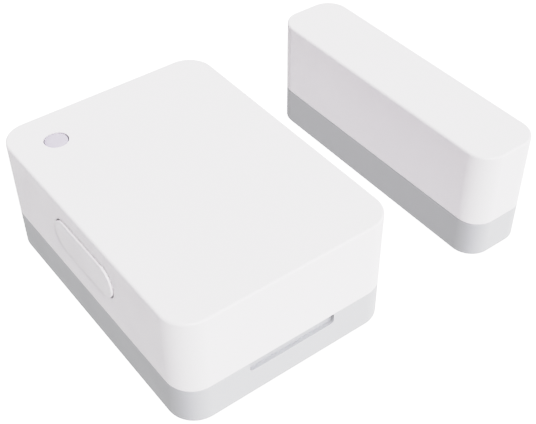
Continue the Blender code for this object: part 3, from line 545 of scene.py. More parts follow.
def cell_finish():
    """Nickel plate with rings left by the lathe."""
    nodes = Nodes("cell_nickel")
    inputs = {"Vector": nodes.place, "Scale": 1 / (0.9 * MM), "Distortion": 0.6, "Detail": 2.0}
    kind = {"wave_type": "RINGS", "rings_direction": "Z", "wave_profile": "SIN"}
    rings = nodes.add("ShaderNodeTexWave", inputs, **kind).outputs[1]
    colours = (0.60, 0.60, 0.59, 1), (0.70, 0.69, 0.68, 1)
    return drifting(nodes, nodes.noise(5.0, 4.0), colours, rings, (0.22, 0.34), rings, 0.002, Metallic=1.0)


def glass_finish():
    nodes = Nodes("reed_tube_glass")
    waves = nodes.noise(2.0, 2.0)
    colours = (0.80, 0.95, 0.88, 1), (0.88, 0.98, 0.93, 1)
    clear = {"Transmission_Weight": 1.0, "IOR": 1.5}
    return drifting(nodes, waves, colours, waves, (0.02, 0.05), waves, 0.004, **clear)


def make_finishes():
    """Every material by the name that the builders below use."""
    made = {
        "white": moulded("shell_white", WHITE_SHELL, 0.42, **SHEEN),
        "grey": moulded("shell_grey", GREY_SHELL, 0.46, **SHEEN),
        "key": moulded("key_white", tone(WHITE_SHELL, 0.99)[:3], 0.38, 0.10, 0.002, **SHEEN),
        "window": moulded("window_smoke", WINDOW_TINT, 0.22, 0.3, 0.0008, 0.02, **CLOUDY),
        "foam": foam_finish(),
        "board": board_finish(),
        "cell": cell_finish(),
        "glass": glass_finish(),
    }
    made.update((key, moulded(*values)) for key, values in MOULDED.items())
    made.update((key, metal(*values)) for key, values in METALS.items())
    return {key: nodes.material for key, nodes in made.items()}


FINISHES = make_finishes()


# Shells


def inner_corner(wall, flat, way):
    """The rounded corner between a wall's inside and the flat face that it meets. Way is 1 over a floor."""
    levels = (flat, flat + way * INNER_MID, flat + way * INNER_ROUND)
    return list(zip((wall + INNER_ROUND, wall + INNER_MID, wall), levels))


def make_cover(node, corner, wall):
    """A white cover, from the middle of its ceiling, down inside, round the rim and up to the top edge."""
    (x, y, _), (width, length, _) = extent(node)
    bottom, top = level(node)
    bottom -= SEAM_CREEP
    rim_inset = LIP_INSET - LIP_GAP
    shelf = bottom + LIP_RISE + LIP_GAP
    profile = inner_corner(wall, top - CEILING, -1)
    profile += [(wall, shelf), (rim_inset, shelf), (rim_inset, bottom + BREAK), (rim_inset - BREAK, bottom)]
    profile += rounded(bottom, top, BREAK, TOP_EDGE, 8)
    rings = stack(width / 2, length / 2, corner, profile)
    return new_object(node + "_shell", shape(add_rings, rings, upright(x, y)))


def make_tray(node, pad_node, corner, wall, floor, rim_z):
    """A grey base: pad pocket, foot, outer wall, rim, lip and inside, in one skin."""
    (x, y, _), (pad_x, pad_y, _) = extent(pad_node)
    _, (width, length, _) = extent(node)
    foot, _ = level(node)
    pocket = [(0.0, PAD_THICK + LIP_GAP), (0.0, foot + BREAK), (-BREAK, foot)]
    rings = stack(pad_x / 2 + PAD_GAP, pad_y / 2 + PAD_GAP, PAD_CORNER + PAD_GAP, pocket)
    rim_z += SEAM_CREEP
    lip_top = rim_z + LIP_RISE
    profile = rounded(foot, rim_z, FOOT_EDGE, BREAK, 6)
    profile += [
        (LIP_INSET, rim_z),
        (LIP_INSET, lip_top - BREAK),
        (LIP_INSET + BREAK, lip_top),
        (wall - BREAK, lip_top),
        (wall, lip_top - BREAK),
    ]
    profile += reversed(inner_corner(wall, foot + floor, 1))
    rings += stack(width / 2, length / 2, corner, profile)
    return new_object(node + "_shell", shape(add_rings, rings, upright(x, y)))


def tongue_tools(spots, floor, rim_z):
    """Snap tongues, each a plate on a root, with a rounded ridge. A spot is (x, y, turn, width)."""
    middle = TONGUE_GAP + TONGUE_THICK / 2
    root_top = rim_z - ROOT_DROP
    tools = []
    for x, y, turn, width in spots:
        place = upright(x, y, turn=turn)
        size = (TONGUE_THICK, width, TONGUE_TOP - floor)
        centre = (-middle, 0, (TONGUE_TOP + floor) / 2)
        tools.append(tool(add_block, size, centre, TONGUE_CORNER, TONGUE_EDGE, place))
        size = (middle + ROOT_BITE, width - ROOT_SHORT, root_top - floor)
        centre = ((ROOT_BITE - middle) / 2, 0, (root_top + floor) / 2)
        tools.append(tool(add_block, size, centre, ROOT_EDGE, ROOT_EDGE, place))
        tip, full = (width / 2 - inset for inset in RIDGE_INSETS)
        ridge = [(RIDGE_TIP, -tip), (RIDGE_RADIUS, -full), (RIDGE_RADIUS, full), (RIDGE_TIP, tip)]
        lie = facing("up", (-TONGUE_GAP, 0, RIDGE_HEIGHT)) @ Matrix.Rotation(-math.pi / 2, 4, "X")
        tools.append(tool(add_turned, ridge, place @ lie, 20))
    return tools


def supports(spots, size, floor, top, corner, edge):
    """Walls that stand on a tray's floor and end at this height, one on each (x, y) spot."""
    height = top - floor
    return [tool(add_block, (*size, height), (x, y, floor + height / 2), corner, edge) for x, y in spots]


def outer_wall():
    """The x of the sensor cover's face on the key's side."""
    (x, _, _), (width, _, _) = extent("sensor_housing")
    return x - width / 2


def key_place():
    """(face x, y, z, half length, half height) of the side button's key."""
    face_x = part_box("side_button")[0].x / MM
    (_, y, z), (_, length, height) = extent("side_button")
    long_margin, high_margin = FLANGE_MARGINS
    return face_x, y, z, (length - long_margin) / 2, (height - high_margin) / 2


def sensor_cover():
    shell = make_cover("sensor_housing", SENSOR_CORNER, SENSOR_WALL)
    _, top = level("sensor_housing")
    (pipe_x, pipe_y, _), (pipe_width, _, _) = extent("window_light_pipe")
    board_top = level("main_board")[1]
    low, high = board_top + LIP_GAP, top - CEILING + BOSS_BITE
    boss = list(zip(BOSS_RADII, (low, low + BEVEL, high - BOSS_FLARE, high)))
    joined = [tool(add_turned, boss, upright(x, y), 40) for x, y in BOSSES]
    foot = [(COLLAR_RADIUS - BEVEL, COLLAR_FOOT), (COLLAR_RADIUS, COLLAR_FOOT + BEVEL)]
    collar = [*foot, (COLLAR_RADIUS, high)]
    joined.append(tool(add_turned, collar, upright(pipe_x, pipe_y), 56))
    carve(shell, joined, "UNION")

    pilot = [
        (PILOT_WIDE, board_top - PAST),
        (PILOT_WIDE, board_top + PILOT_TAPER[0]),
        (PILOT_NARROW, board_top + PILOT_TAPER[1]),
        (PILOT_NARROW, PILOT_TOP),
    ]
    cuts = [tool(add_turned, pilot, upright(x, y), 28) for x, y in BOSSES]
    seat = [(pipe_width / 2 + LIP_GAP, z) for z in (SEAT_FOOT, top - CEILING)]
    cuts.append(tool(add_turned, seat, upright(pipe_x, pipe_y), 56))
    rings = hole_rings(WINDOW_HOLE, WINDOW_HOLE, WINDOW_HOLE, WINDOW_CUT, WINDOW_EDGE)
    cuts.append(tool(add_rings, rings, facing("up", (pipe_x, pipe_y, top))))
    _, key_y, key_z, half_long, half_high = key_place()
    half_long += BUTTON_CLEARANCE
    half_high += BUTTON_CLEARANCE
    rings = hole_rings(half_long, half_high, half_high, BUTTON_CUT)
    cuts.append(tool(add_rings, rings, facing("left", (outer_wall(), key_y, key_z))))
    carve(shell, cuts)
    finish_piece(shell, "white", "cover", "cover_white", "sensor_housing")


def sensor_tray():
    rim_z = level("sensor_housing")[0] - LIP_GAP
    tray = make_tray("sensor_base", "sensor_adhesive_pad", SENSOR_CORNER, SENSOR_WALL, SENSOR_FLOOR, rim_z)
    _, (width, length, _) = extent("sensor_base")
    side = width / 2 - SENSOR_WALL
    end = length / 2 - SENSOR_WALL
    sides = ((side, 0.0), (-side, math.pi))
    spots = [(x, y, turn, SENSOR_TONGUE) for x, turn in sides for y in SENSOR_TONGUE_Y]
    spots += [(0, end, math.pi / 2, END_TONGUE), (0, -end, -math.pi / 2, END_TONGUE)]
    tools = tongue_tools(spots, SENSOR_FLOOR, rim_z)
    rib_top = level("battery_can")[0] - RIB_GAP
    tools += supports(RIBS, RIB, SENSOR_FLOOR, rib_top, RIB_CORNER, RIB_EDGE)
    carve(tray, tools, "UNION")
    half_high = NOTCH_HEIGHT / 2 + PAST
    rings = hole_rings(NOTCH_LENGTH / 2, half_high, NOTCH_CORNER, NOTCH_DEPTH)
    centre = (0, -length / 2, rim_z + SEAM_CREEP - NOTCH_HEIGHT + half_high)
    carve(tray, [tool(add_rings, rings, facing("front", centre))])
    finish_piece(tray, "grey", "base", "base_grey", "sensor_base")


def magnet_shells():
    cover = make_cover("magnet_cover", MAGNET_CORNER, MAGNET_WALL)
    finish_piece(cover, "white", "magnet_unit", "cover_white", "magnet_cover")
    rim_z = level("magnet_cover")[0] - LIP_GAP
    tray = make_tray("magnet_base", "magnet_adhesive_pad", MAGNET_CORNER, MAGNET_WALL, MAGNET_FLOOR, rim_z)
    (x, _, _), (width, _, _) = extent("magnet_cover")
    reach = width / 2 - MAGNET_WALL
    sides = ((x + reach, 0.0), (x - reach, math.pi))
    spots = [(side, y, turn, MAGNET_TONGUE) for side, turn in sides for y in MAGNET_TONGUE_Y]
    tools = tongue_tools(spots, MAGNET_FLOOR, rim_z)
    (bar_x, _, _), (bar_width, _, _) = extent("magnet_bar")
    post_top = level("magnet_bar")[0] - POST_GAP
    posts = [(bar_x, y) for y in POST_Y]
    tools += supports(posts, (bar_width, POST_THICK), MAGNET_FLOOR, post_top, POST_CORNER, POST_EDGE)
    carve(tray, tools, "UNION")
    finish_piece(tray, "grey", "magnet_unit", "base_grey", "magnet_base")


def adhesive_pads():
    """Foam tape with soft edges, inside the room that the CAD pad has."""
    for node, body in (("sensor_adhesive_pad", "base"), ("magnet_adhesive_pad", "magnet_unit")):
        (x, y, _), (width, length, _) = extent(node)
        rings = stack(width / 2, length / 2, PAD_CORNER, rounded(*level(node), *PAD_EDGES))
        bm = shape(add_rings, rings, upright(x, y))
        pad = make_piece(node + "_foam", bm, "foam", body, "pad_foam", node)


# Window and button


def light_window():
    (x, y, _), (flange, _, _) = extent("window_light_pipe")
    bottom, top = level("window_light_pipe")
    head = WINDOW_HOLE - LENS_GAP
    step = top + LENS_SINK - CEILING - LIP_GAP
    under = step - PIPE_FLANGE
    half = flange / 2
    profile = [
        (PIPE_RADIUS - BEVEL, bottom),
        (PIPE_RADIUS, bottom + BEVEL),
        (PIPE_RADIUS, under),
        (half - PIPE_EDGE, under),
        (half, under + PIPE_EDGE),
        (half, step - PIPE_EDGE),
        (half - PIPE_EDGE, step),
        (head, step),
        (head, top - LENS_EDGE),
        (head - LENS_MID[0], top - LENS_MID[1]),
        (head - LENS_EDGE, top),
        (head / 2, top),
    ]
    pipe = new_object("window_lens", shape(add_turned, profile))
    pipe.location = Vector((x, y, 0)) * MM
    finish_piece(pipe, "window", "cover", "window_smoke", "window_light_pipe")

    low, high = level("light_shield")
    sleeve = [
        (SLEEVE_BORE, high),
        (SLEEVE_RADIUS - BEVEL, high),
        (SLEEVE_RADIUS, high - BEVEL),
        (SLEEVE_RADIUS, low + BEVEL),
        (SLEEVE_RADIUS - BEVEL, low),
        (SLEEVE_BORE, low),
    ]
    bm = shape(add_turned, sleeve, upright(x, y), 56, loop=True)
    make_piece("light_shield_sleeve", bm, "rubber", "cover", "shield_rubber", "light_shield")


def side_key():
    """The key's outside, its flange and the post that meets the switch."""
    face_x, y, z, half_long, half_high = key_place()
    flange_face = outer_wall() + SENSOR_WALL + LIP_GAP
    _, (_, flange_long, flange_high) = extent("side_button")
    flange = rounded(-FLANGE_BACK, 0.0, FLANGE_EDGE, FLANGE_EDGE, 3)
    rings = stack(flange_long / 2, flange_high / 2, flange_high / 2, flange)
    face = flange_face - face_x
    key = rounded(0.0, face - KEY_CROWN, 0.0, KEY_EDGE, 6)
    key += [(inset, face - KEY_CROWN * (1 - inset / CROWN_REACH) ** 2) for inset in CROWN_INSETS]
    rings += stack(half_long, half_high, half_high, key)
    key_object = new_object("side_key", shape(add_rings, rings, facing("left", (flange_face, y, z))))
    post_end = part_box("side_button")[1].x / MM
    length = post_end - flange_face - FLANGE_BACK + KEY_POST_BITE
    size, centre = (length, *KEY_POST), (post_end - length / 2, y, z)
    carve(key_object, [tool(add_block, size, centre, KEY_POST_EDGE, KEY_POST_EDGE)], "UNION")
    finish_piece(key_object, "key", "button", "cover_white", "side_button")


# Circuit board


def end_caps(node, thick, axis=0):
    """Metal caps on both ends of a chip part, standing just outside its body."""
    bm = bmesh.new()
    spot, size = extent(node)
    for end in SIDES:
        cap = [side + CAP_PROUD for side in size]
        cap[axis] = thick
        at = list(spot)
        at[axis] += end * (size[axis] - thick + CAP_PROUD) / 2
        add_block(bm, cap, at, *CHIP_EDGES)
    return bm


def chip_ends(node, thick, axis=0):
    make_piece(node + "_ends", end_caps(node, thick, axis), "solder", "cover", "steel")


def board_piece():
    (x, y, _), (width, length, _) = extent("main_board")
    low, high = level("main_board")
    rings = stack(width / 2, length / 2, BOARD_CORNER, rounded(low, high, BOARD_EDGE, BOARD_EDGE, 2))
    board = new_object("main_board_panel", shape(add_rings, rings, upright(x, y)))
    through = (low - PAST, high + PAST)
    hole = [(BOARD_HOLE, z) for z in through]
    cuts = [tool(add_turned, hole, upright(*spot), 32) for spot in BOSSES]
    rings = stack(*BOARD_NOTCH, BOARD_NOTCH_CORNER, [(0, z) for z in through])
    cuts.append(tool(add_rings, rings, upright(x - width / 2, key_place()[1])))
    carve(board, cuts)
    finish_piece(board, "board", "cover", "board_green", "main_board")


def pad_spots():
    """(x, y, size) of every chip's pads, which stand in rows along two of its sides."""
    spots = []
    for node, count, pitch, reach, size, axis in PAD_ROWS:
        (x, y, _), _ = extent(node)
        for side in SIDES:
            for index in range(count):
                off = [side * reach, side * reach]
                off[1 - axis] = (index - (count - 1) / 2) * pitch
                spots.append((x + off[0], y + off[1], size))
    return spots


def board_copper():
    """Gold pads and rings on both faces of the board, and masked traces between the parts."""
    low, high = level("main_board")
    top = high + BOARD_LIFT
    pads = bmesh.new()

    def pad(x, y, size, corner=0.05):
        add_block(pads, (*size, PAD_METAL), (x, y, top - PAD_METAL / 2), corner, edge=0.01, steps=3)

    for spot in BOSSES:
        for face in (top, low):
            under = face - BOARD_LIFT
            ring = [(RING_BORE, face), (RING_RADIUS, face), (RING_RADIUS, under), (RING_BORE, under)]
            add_turned(pads, ring, upright(*spot), 36, loop=True)
    for spot in pad_spots():
        pad(*spot)
    reed_x = extent("reed_glass")[0][0]
    for side in SIDES:
        pad(reed_x, side * REED_PAD_Y, REED_PAD, REED_PAD_CORNER)
    start_x, test_y = TEST_PAD_START
    for index in range(TEST_PADS):
        pad(start_x + index * TEST_PAD_STEP, test_y, TEST_PAD, TEST_PAD_CORNER)
    make_piece("board_pads", pads, "gold", "cover", "contact_metal")

    traces = bmesh.new()
    over = high + BOARD_LIFT * 0.7
    for route in trace_routes():
        add_ribbon(traces, route, TRACE_WIDTH, high, over)
    via = list(zip(VIA_RADII, (high, over, over, high)))
    for (x, y), (step_x, step_y), count in VIA_ROWS:
        for index in range(count):
            add_turned(traces, via, upright(x + index * step_x, y + index * step_y), 14)
    make_piece("board_traces", traces, "trace", "cover", "board_green")


def beside(node, offset):
    """The spot at this (x, y) offset from the middle of a CAD node."""
    (x, y, _), _ = extent(node)
    return x + offset[0], y + offset[1]


def bend(start, end):
    """A route with one 45 degree stretch in its middle."""
    (x0, y0), (x1, y1) = start, end
    run_x, run_y = x1 - x0, y1 - y0
    slant = min(abs(run_x), abs(run_y))
    step_x, step_y = math.copysign(slant, run_x), math.copysign(slant, run_y)
    if abs(run_x) > abs(run_y):
        lead = (run_x - step_x) / 2
        return [start, (x0 + lead, y0), (x0 + lead + step_x, y0 + step_y), end]
    lead = (run_y - step_y) / 2
    return [start, (x0, y0 + lead), (x0 + step_x, y0 + lead + step_y), end]


def trace_routes():
    routes = [bend(beside("wireless_chip", pin), beside(node, far)) for pin, node, far in CHIP_TRACES]
    routes.append(bend(beside("chip_resistor_1", LIGHT_PINS[0]), beside("status_led", LIGHT_PINS[1])))
    pin = beside("wireless_chip", REED_PIN)
    routes.append([pin, (CHIP_TO_REED[0][0], pin[1]), *CHIP_TO_REED])
    reed_x = extent("reed_glass")[0][0]
    routes.append([*SUPPLY_TO_REED, (reed_x + REED_END[0], REED_END[1])])
    routes += [bend(beside("supply_capacitor", pin), end) for pin, end in SUPPLY_PINS]
    return routes


def board_legend():
    """Printed corners round the larger parts, and a dot at the wireless chip's first pin."""
    high = level("main_board")[1]
    bm = bmesh.new()
    for node, margin in PRINTED:
        (x, y, _), (width, length, _) = extent(node)
        half_x, half_y = width / 2 + margin, length / 2 + margin
        leg = min(half_x, half_y) * PRINT_LEG
        for side in SIDES:
            for run in SIDES:
                at_x, at_y = x + side * half_x, y + run * half_y
                route = [(at_x - side * leg, at_y), (at_x, at_y), (at_x, at_y - run * leg)]
                add_ribbon(bm, route, PRINT_WIDTH, high, high + BOARD_LIFT * 1.1)
    dot = [(PIN_DOT, high), (PIN_DOT, high + BOARD_LIFT)]
    add_turned(bm, dot, upright(*beside("wireless_chip", PIN_DOT_OFFSET)), 20)
    make_piece("board_legend_marks", bm, "legend", "cover", "board_green")


def wireless_chip():
    (x, y, _), (width, length, _) = extent("wireless_chip")
    low, high = level("wireless_chip")
    dimple = [(0.22, high - 0.04), (0.3, high + 0.02)]
    corner = (x - width / 2 + DIMPLE_INSET, y + length / 2 - DIMPLE_INSET)
    cuts = [tool(add_turned, dimple, upright(*corner), 24)]
    block_piece("wireless_chip_case", "wireless_chip", (0.06, 0.04), "epoxy", "cover", "chip_black", cuts)
    bm = bmesh.new()
    out, across, tall = CHIP_LEAD
    for side in SIDES:
        for index in range(CHIP_LEADS):
            along = (index - (CHIP_LEADS - 1) / 2) * CHIP_PITCH
            add_block(bm, (out, across, tall), (x + side * (width / 2 - 0.1), y + along, low), 0.05, 0.03)
            add_block(bm, (across, out, tall), (x + along, y + side * (length / 2 - 0.1), low), 0.05, 0.03)
    make_piece("wireless_chip_leads", bm, "solder", "cover", "steel")


def crystal_can():
    (x, y, _), (width, length, _) = extent("crystal")
    low, high = level("crystal")
    seam = low + 0.25
    rings = stack(width / 2, length / 2, 0.4, [(0.0, low), (0.0, seam)], 8)
    rings += stack(width / 2 - 0.15, length / 2 - 0.15, 0.35, rounded(seam, high, 0.0, 0.1, 4), 8)
    bm = shape(add_rings, rings, upright(x, y))
    make_piece("crystal_can", bm, "steel", "cover", "steel", "crystal")


def antenna_block():
    block_piece("chip_antenna_block", "chip_antenna", CHIP_EDGES, "antenna", "cover", "antenna_ceramic")
    (x, y, _), _ = extent("chip_antenna")
    high = level("chip_antenna")[1]
    points = []
    for index in range(TRACK_RUNS):
        swing = TRACK_FOLD if index % 2 else -TRACK_FOLD
        at = x + TRACK_START + index * TRACK_STEP
        points += [(at, y - swing), (at, y + swing)]
    bm = end_caps("chip_antenna", 0.6)
    add_ribbon(bm, points, TRACK_WIDTH, high - BOARD_LIFT, high + BOARD_LIFT)
    make_piece("chip_antenna_track", bm, "solder", "cover", "steel")


def supply_capacitor():
    (x, y, z), (width, length, height) = extent("supply_capacitor")
    low, high = level("supply_capacitor")
    rings = stack(width / 2, length / 2, 0.12, [(0.1, low), (0.0, z), (0.12, high - 0.06), (0.18, high)], 4)
    bm = shape(add_rings, rings, upright(x, y))
    make_piece("supply_capacitor_case", bm, "yellow", "cover", "capacitor_tan", "supply_capacitor")
    stripe = (0.55, length - 0.4, 0.02)
    bm = shape(add_block, stripe, (x - width / 2 + 0.6, y, high + 0.005), 0.05, 0.008)
    make_piece("supply_capacitor_stripe", bm, "tan", "cover", "capacitor_tan")
    bm = bmesh.new()
    lead = length * 0.75
    for side in SIDES:
        upper = (x + side * (width / 2 + 0.04), y, low + height * 0.2)
        lower = (x + side * (width / 2 - 0.2), y, low - 0.04)
        add_block(bm, (0.12, lead, height * 0.55), upper)
        add_block(bm, (0.6, lead, 0.12), lower, 0.05, 0.03)
    make_piece("supply_capacitor_leads", bm, "solder", "cover", "steel")


def small_chips():
    """Ceramic capacitors and chip resistors, each with its own end caps."""
    for number in SMALL_CHIPS:
        node = f"ceramic_capacitor_{number}"
        block_piece(node + "_body", node, CHIP_EDGES, "tan", "cover", "capacitor_tan")
        chip_ends(node, 0.35, 1)

        node = f"chip_resistor_{number}"
        (x, y, z), size = extent(node)
        high = level(node)[1]
        bm = shape(add_block, (size.x, size.y, size.z - 0.04), (x, y, z - 0.02), 0.05, 0.03)
        make_piece(node + "_body", bm, "alumina", "cover", "chip_black", node)
        bm = shape(add_block, (size.x - 0.62, size.y - 0.08, 0.06), (x, y, high - 0.03), 0.05, 0.02)
        make_piece(node + "_film", bm, "epoxy", "cover", "chip_black")
        chip_ends(node, 0.3)


def optical_chips():
    """The status light and the light sensor, under the window."""
    (x, y, z), size = extent("status_led")
    high = level("status_led")[1]
    bm = shape(add_block, (size.x, size.y - 0.3, size.z), (x, y, z), 0.06, 0.03)
    make_piece("status_led_case", bm, "alumina", "cover", "led_white", "status_led")
    bead = [(0.28, high - 0.05), (0.27, high + 0.03), (0.1, high + 0.05)]
    bm = shape(add_turned, bead, upright(x, y), 24)
    make_piece("status_led_lens", bm, "phosphor", "cover", "led_white")
    chip_ends("status_led", 0.22, 1)

    (x, y, _), _ = extent("light_sensor")
    high = level("light_sensor")[1]
    block_piece("light_sensor_case", "light_sensor", (0.08, 0.05), "epoxy", "cover", "chip_black")
    turns = [step * 0.25 for step in range(6)]
    dome = [(0.36 * math.cos(turn), high - 0.03 + 0.16 * math.sin(turn)) for turn in turns]
    make_piece("light_sensor_lens", shape(add_turned, dome, upright(x, y), 28), "lens", "cover", "chip_black")


def screw_rings(low, high):
    """A screw with its head down. A spoke's radius follows the thread, which fades out at both ends."""
    seat = low + HEAD_HEIGHT
    rows = [[radius] * SCREW_STEPS + [low + z] for radius, z in HEAD]
    for index in range(THREAD_ROWS + 1):
        z = seat + (high - seat - THREAD_END) * index / THREAD_ROWS
        fade = min(1.0, index / 6, (THREAD_ROWS - index) / 8)
        row = []
        for spoke in range(SCREW_STEPS):
            phase = (z / THREAD_PITCH - spoke / SCREW_STEPS) % 1.0
            tooth = max(0.0, 1 - abs(phase - 0.5) * 3)
            row.append(THREAD_ROOT + (THREAD_CREST - THREAD_ROOT) * tooth * fade)
        rows.append(row + [z])
    rows.append([0.08] * SCREW_STEPS + [high])
    angles = [math.tau * spoke / SCREW_STEPS for spoke in range(SCREW_STEPS)]
    spokes = [(math.cos(angle), math.sin(angle)) for angle in angles]
    return [[(radius * x, radius * y, z) for (x, y), radius in zip(spokes, row)] for *row, z in rows]


def board_screws():
    """Cross-head screws, head down, each with a real helical thread."""
    recess = [outline(long, wide, 0.04, z, 2) for long, wide, z in RECESS]
    for number, (x, y) in enumerate(BOSSES, 1):
        node = f"board_screw_{number}"
        low, high = level(node)
        screw = new_object(node + "_thread", shape(add_rings, screw_rings(low, high), upright(x, y)))
        turns = (math.pi / 4, math.pi / 2 + math.pi / 4)
        carve(screw, [tool(add_rings, recess, upright(x, y, low, turn)) for turn in turns])
        finish_piece(screw, "zinc", "cover", "steel", node)


# Switch


def tactile_switch():
    (x, y, _), (depth, _, _) = extent("switch_body")
    low = level("switch_body")[0]
    (tip_x, tip_y, tip_z), tip = extent("switch_plunger")
    pocket = (3.2, tip.y + 0.24, tip.z + 0.24)
    cuts = [tool(add_block, pocket, (x - depth / 2, tip_y, tip_z), *SWITCH_EDGES)]
    block_piece("switch_housing", "switch_body", SWITCH_EDGES, "black", "cover", "holder_black", cuts)

    (clip_x, clip_y, clip_z), (clip_depth, clip_width, clip_height) = extent("switch_frame")
    clip_low, clip_high = level("switch_frame")
    plate = (clip_depth, clip_width, SHEET)
    bm = shape(add_block, plate, (clip_x, clip_y, clip_high - SHEET / 2), 0.12, 0.06)
    dome = [(0.34, clip_high - 0.04), (0.32, clip_high + 0.02), (0.1, clip_high + 0.05)]
    for side in SIDES:
        wall = (clip_x, clip_y + side * (clip_width - SHEET) / 2, clip_z)
        foot = (clip_x + 0.5, clip_y + side * (clip_width / 2 + 0.1), clip_low + 0.05)
        add_block(bm, (clip_depth, SHEET, clip_height - 0.06), wall, 0.06, 0.06)
        add_block(bm, (0.7, 0.5, SHEET), foot, 0.06, 0.05)
        add_turned(bm, dome, upright(clip_x + 0.7, clip_y + side * 1.4), 24)
    make_piece("switch_clip", bm, "steel", "cover", "steel", "switch_frame")

    bm = bmesh.new()
    for side in SIDES:
        for end in SIDES:
            spot = (x + side * (depth / 2 + 0.1), y + end * 1.5, low + 0.02)
            add_block(bm, (0.7, 0.6, 0.14), spot, 0.05, 0.04)
    make_piece("switch_terminals", bm, "solder", "cover", "steel")

    rings = stack(tip.y / 2, tip.z / 2, 0.3, rounded(-tip.x / 2, tip.x / 2, 0.08, 0.2), 8)
    bm = shape(add_rings, rings, facing("left", (tip_x, tip_y, tip_z)))
    make_piece("switch_plunger_tip", bm, "ivory", "plunger", "cover_white", "switch_plunger")


# Coin cell and holder


def cell_part(name, profile, node, cuts=()):
    """A turned part of the cell, whose own axis is the cell's."""
    part = new_object(name, shape(add_turned, profile, steps=96))
    if cuts:
        carve(part, cuts)
    (x, y, _), _ = extent("battery_can")
    part.location = Vector((x, y, 0)) * MM
    finish_piece(part, "cell", "coin_cell", "cell_metal", node)


def coin_cell():
    """The can with its turned-in rim, the seal and the cap. A plus sign is pressed into the can."""
    (x, y, _), (across, _, _) = extent("battery_can")
    radius = across / 2
    low, rim = level("battery_can")
    inner = radius - 0.7
    floor, panel = low + 0.6, low + 0.06
    turns = quarter_turn(6)
    can = [(0.5, floor), (inner, floor), (inner, rim - 0.05), (inner + 0.06, rim), (inner + 0.3, rim - 0.02)]
    can += [(radius - 0.45 + 0.45 * math.sin(turn), rim - 0.5 + 0.45 * math.cos(turn)) for turn in turns[1:]]
    can += [(radius - 0.4 + 0.4 * math.cos(turn), low + 0.4 - 0.4 * math.sin(turn)) for turn in turns]
    can += [(radius - 1.4, low), (radius - 1.55, panel), (radius - 2.4, panel), (0.5, panel)]
    long, wide, deep = PLUS_ARM
    arms = [(long, wide, deep), (wide, long, deep)]
    plus = [tool(add_block, arm, (0, 0, low + 0.04), 0.3, 0.04) for arm in arms]
    cell_part("coin_cell_can", can, "battery_can", plus)

    seal = extent("battery_gasket")[1][0] / 2
    seal_low, seal_high = level("battery_gasket")
    ring = [(seal - 0.35, seal_high), (seal, seal_high), (seal, seal_low), (seal - 0.35, seal_low)]
    bm = shape(add_turned, ring, upright(x, y), 80, loop=True)
    make_piece("coin_cell_seal", bm, "black", "coin_cell", "holder_black", "battery_gasket")

    edge = extent("battery_cap")[1][0] / 2
    cap_low, top = level("battery_cap")
    cap = [(edge, cap_low), (edge, top - 0.8), (edge - 0.1, top - 0.7), (edge - 0.35, top - 0.6)]
    cap += [(edge - 0.4 - 0.3 * (1 - math.cos(turn)), top - 0.3 + 0.3 * math.sin(turn)) for turn in turns]
    cap += [(edge - 2.2, top), (edge - 2.3, top - 0.03), (0.5, top - 0.03)]
    cell_part("coin_cell_cap", cap, "battery_cap")


def cell_holder():
    low, high = level("battery_holder")
    (x, y, _), (across, _, _) = extent("battery_can")
    bore = across / 2 + HOLDER_GAP
    rim = bore + HOLDER_WALL
    web = high - HOLDER_WEB
    profile = [
        (HOLDER_OPENING, high),
        (rim, high),
        (rim, low + 0.15),
        (rim - 0.15, low),
        (bore + 0.3, low),
        (bore, low + 0.3),
        (bore, web),
        (HOLDER_OPENING, web),
    ]
    holder = new_object("cell_holder_ring", shape(add_turned, profile, upright(x, y), 96, loop=True))
    turns = [math.tau * (index + 0.5) / HOLDER_RIBS for index in range(HOLDER_RIBS)]
    free = [turn for turn in turns if abs(math.cos(turn)) <= RIB_LIMIT and math.sin(turn) <= RIB_LIMIT]
    size, centre = (0.5, 0.8, high - low - 0.6), (rim + 0.1, 0, (high + low + 0.5) / 2)
    ribs = [tool(add_block, size, centre, 0.15, 0.1, upright(x, y, turn=turn)) for turn in free]
    carve(holder, ribs, "UNION")
    finger, contact = (10.0, 6.0, web - low + 0.95), (3.0, 6.4, 6.0)
    cuts = [
        tool(add_block, finger, (x, y + rim, (low - 1 + web - 0.05) / 2), 1.2, 0.1),
        tool(add_block, contact, (x - rim, y, low + 1.5), 0.3, 0.1),
    ]
    carve(holder, cuts)
    finish_piece(holder, "black", "cover", "holder_black", "battery_holder")


def cell_contacts():
    node = "battery_positive_contact"
    low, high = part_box(node)
    (_, y, _), (_, width, _) = extent(node)
    leaf_x = high.x / MM - 0.1
    bottom, top = level(node)
    bm = shape(add_block, (LEAF, width, 1.0), (leaf_x, y, top - 0.5), 0.06, 0.05)
    for side in SIDES:
        size = (LEAF, width / 2 - 0.35, top - bottom)
        add_block(bm, size, (leaf_x, y + side * (width / 4 + 0.1), (top + bottom) / 2), 0.06, 0.05)
    foot = leaf_x - low.x / MM
    add_block(bm, (foot + 0.1, 3.0, LEAF), (leaf_x - foot / 2, y, top - 0.1), 0.06, 0.05)
    make_piece("positive_leaf", bm, "spring", "cover", "contact_metal", node)

    node = "battery_negative_contact"
    (x, y, z), (across, _, _) = extent(node)
    bm = shape(add_block, (2.6, 2.6, 0.13), (x, y, z), 0.6, 0.04)
    dimple = [(0.36, 0.0), (0.3, -0.09), (0.1, -0.12)]
    for index in range(4):
        place = upright(x, y, z, math.pi / 2 * index)
        add_block(bm, (across / 2 - 0.2, 1.3, 0.11), (across / 4 + 0.1, 0, 0), 0.5, 0.04, place)
        add_turned(bm, dimple, place @ facing("up", (across / 2 - 0.7, 0, 0)), 20)
    make_piece("negative_star", bm, "spring", "cover", "contact_metal", node)


# Reed switch


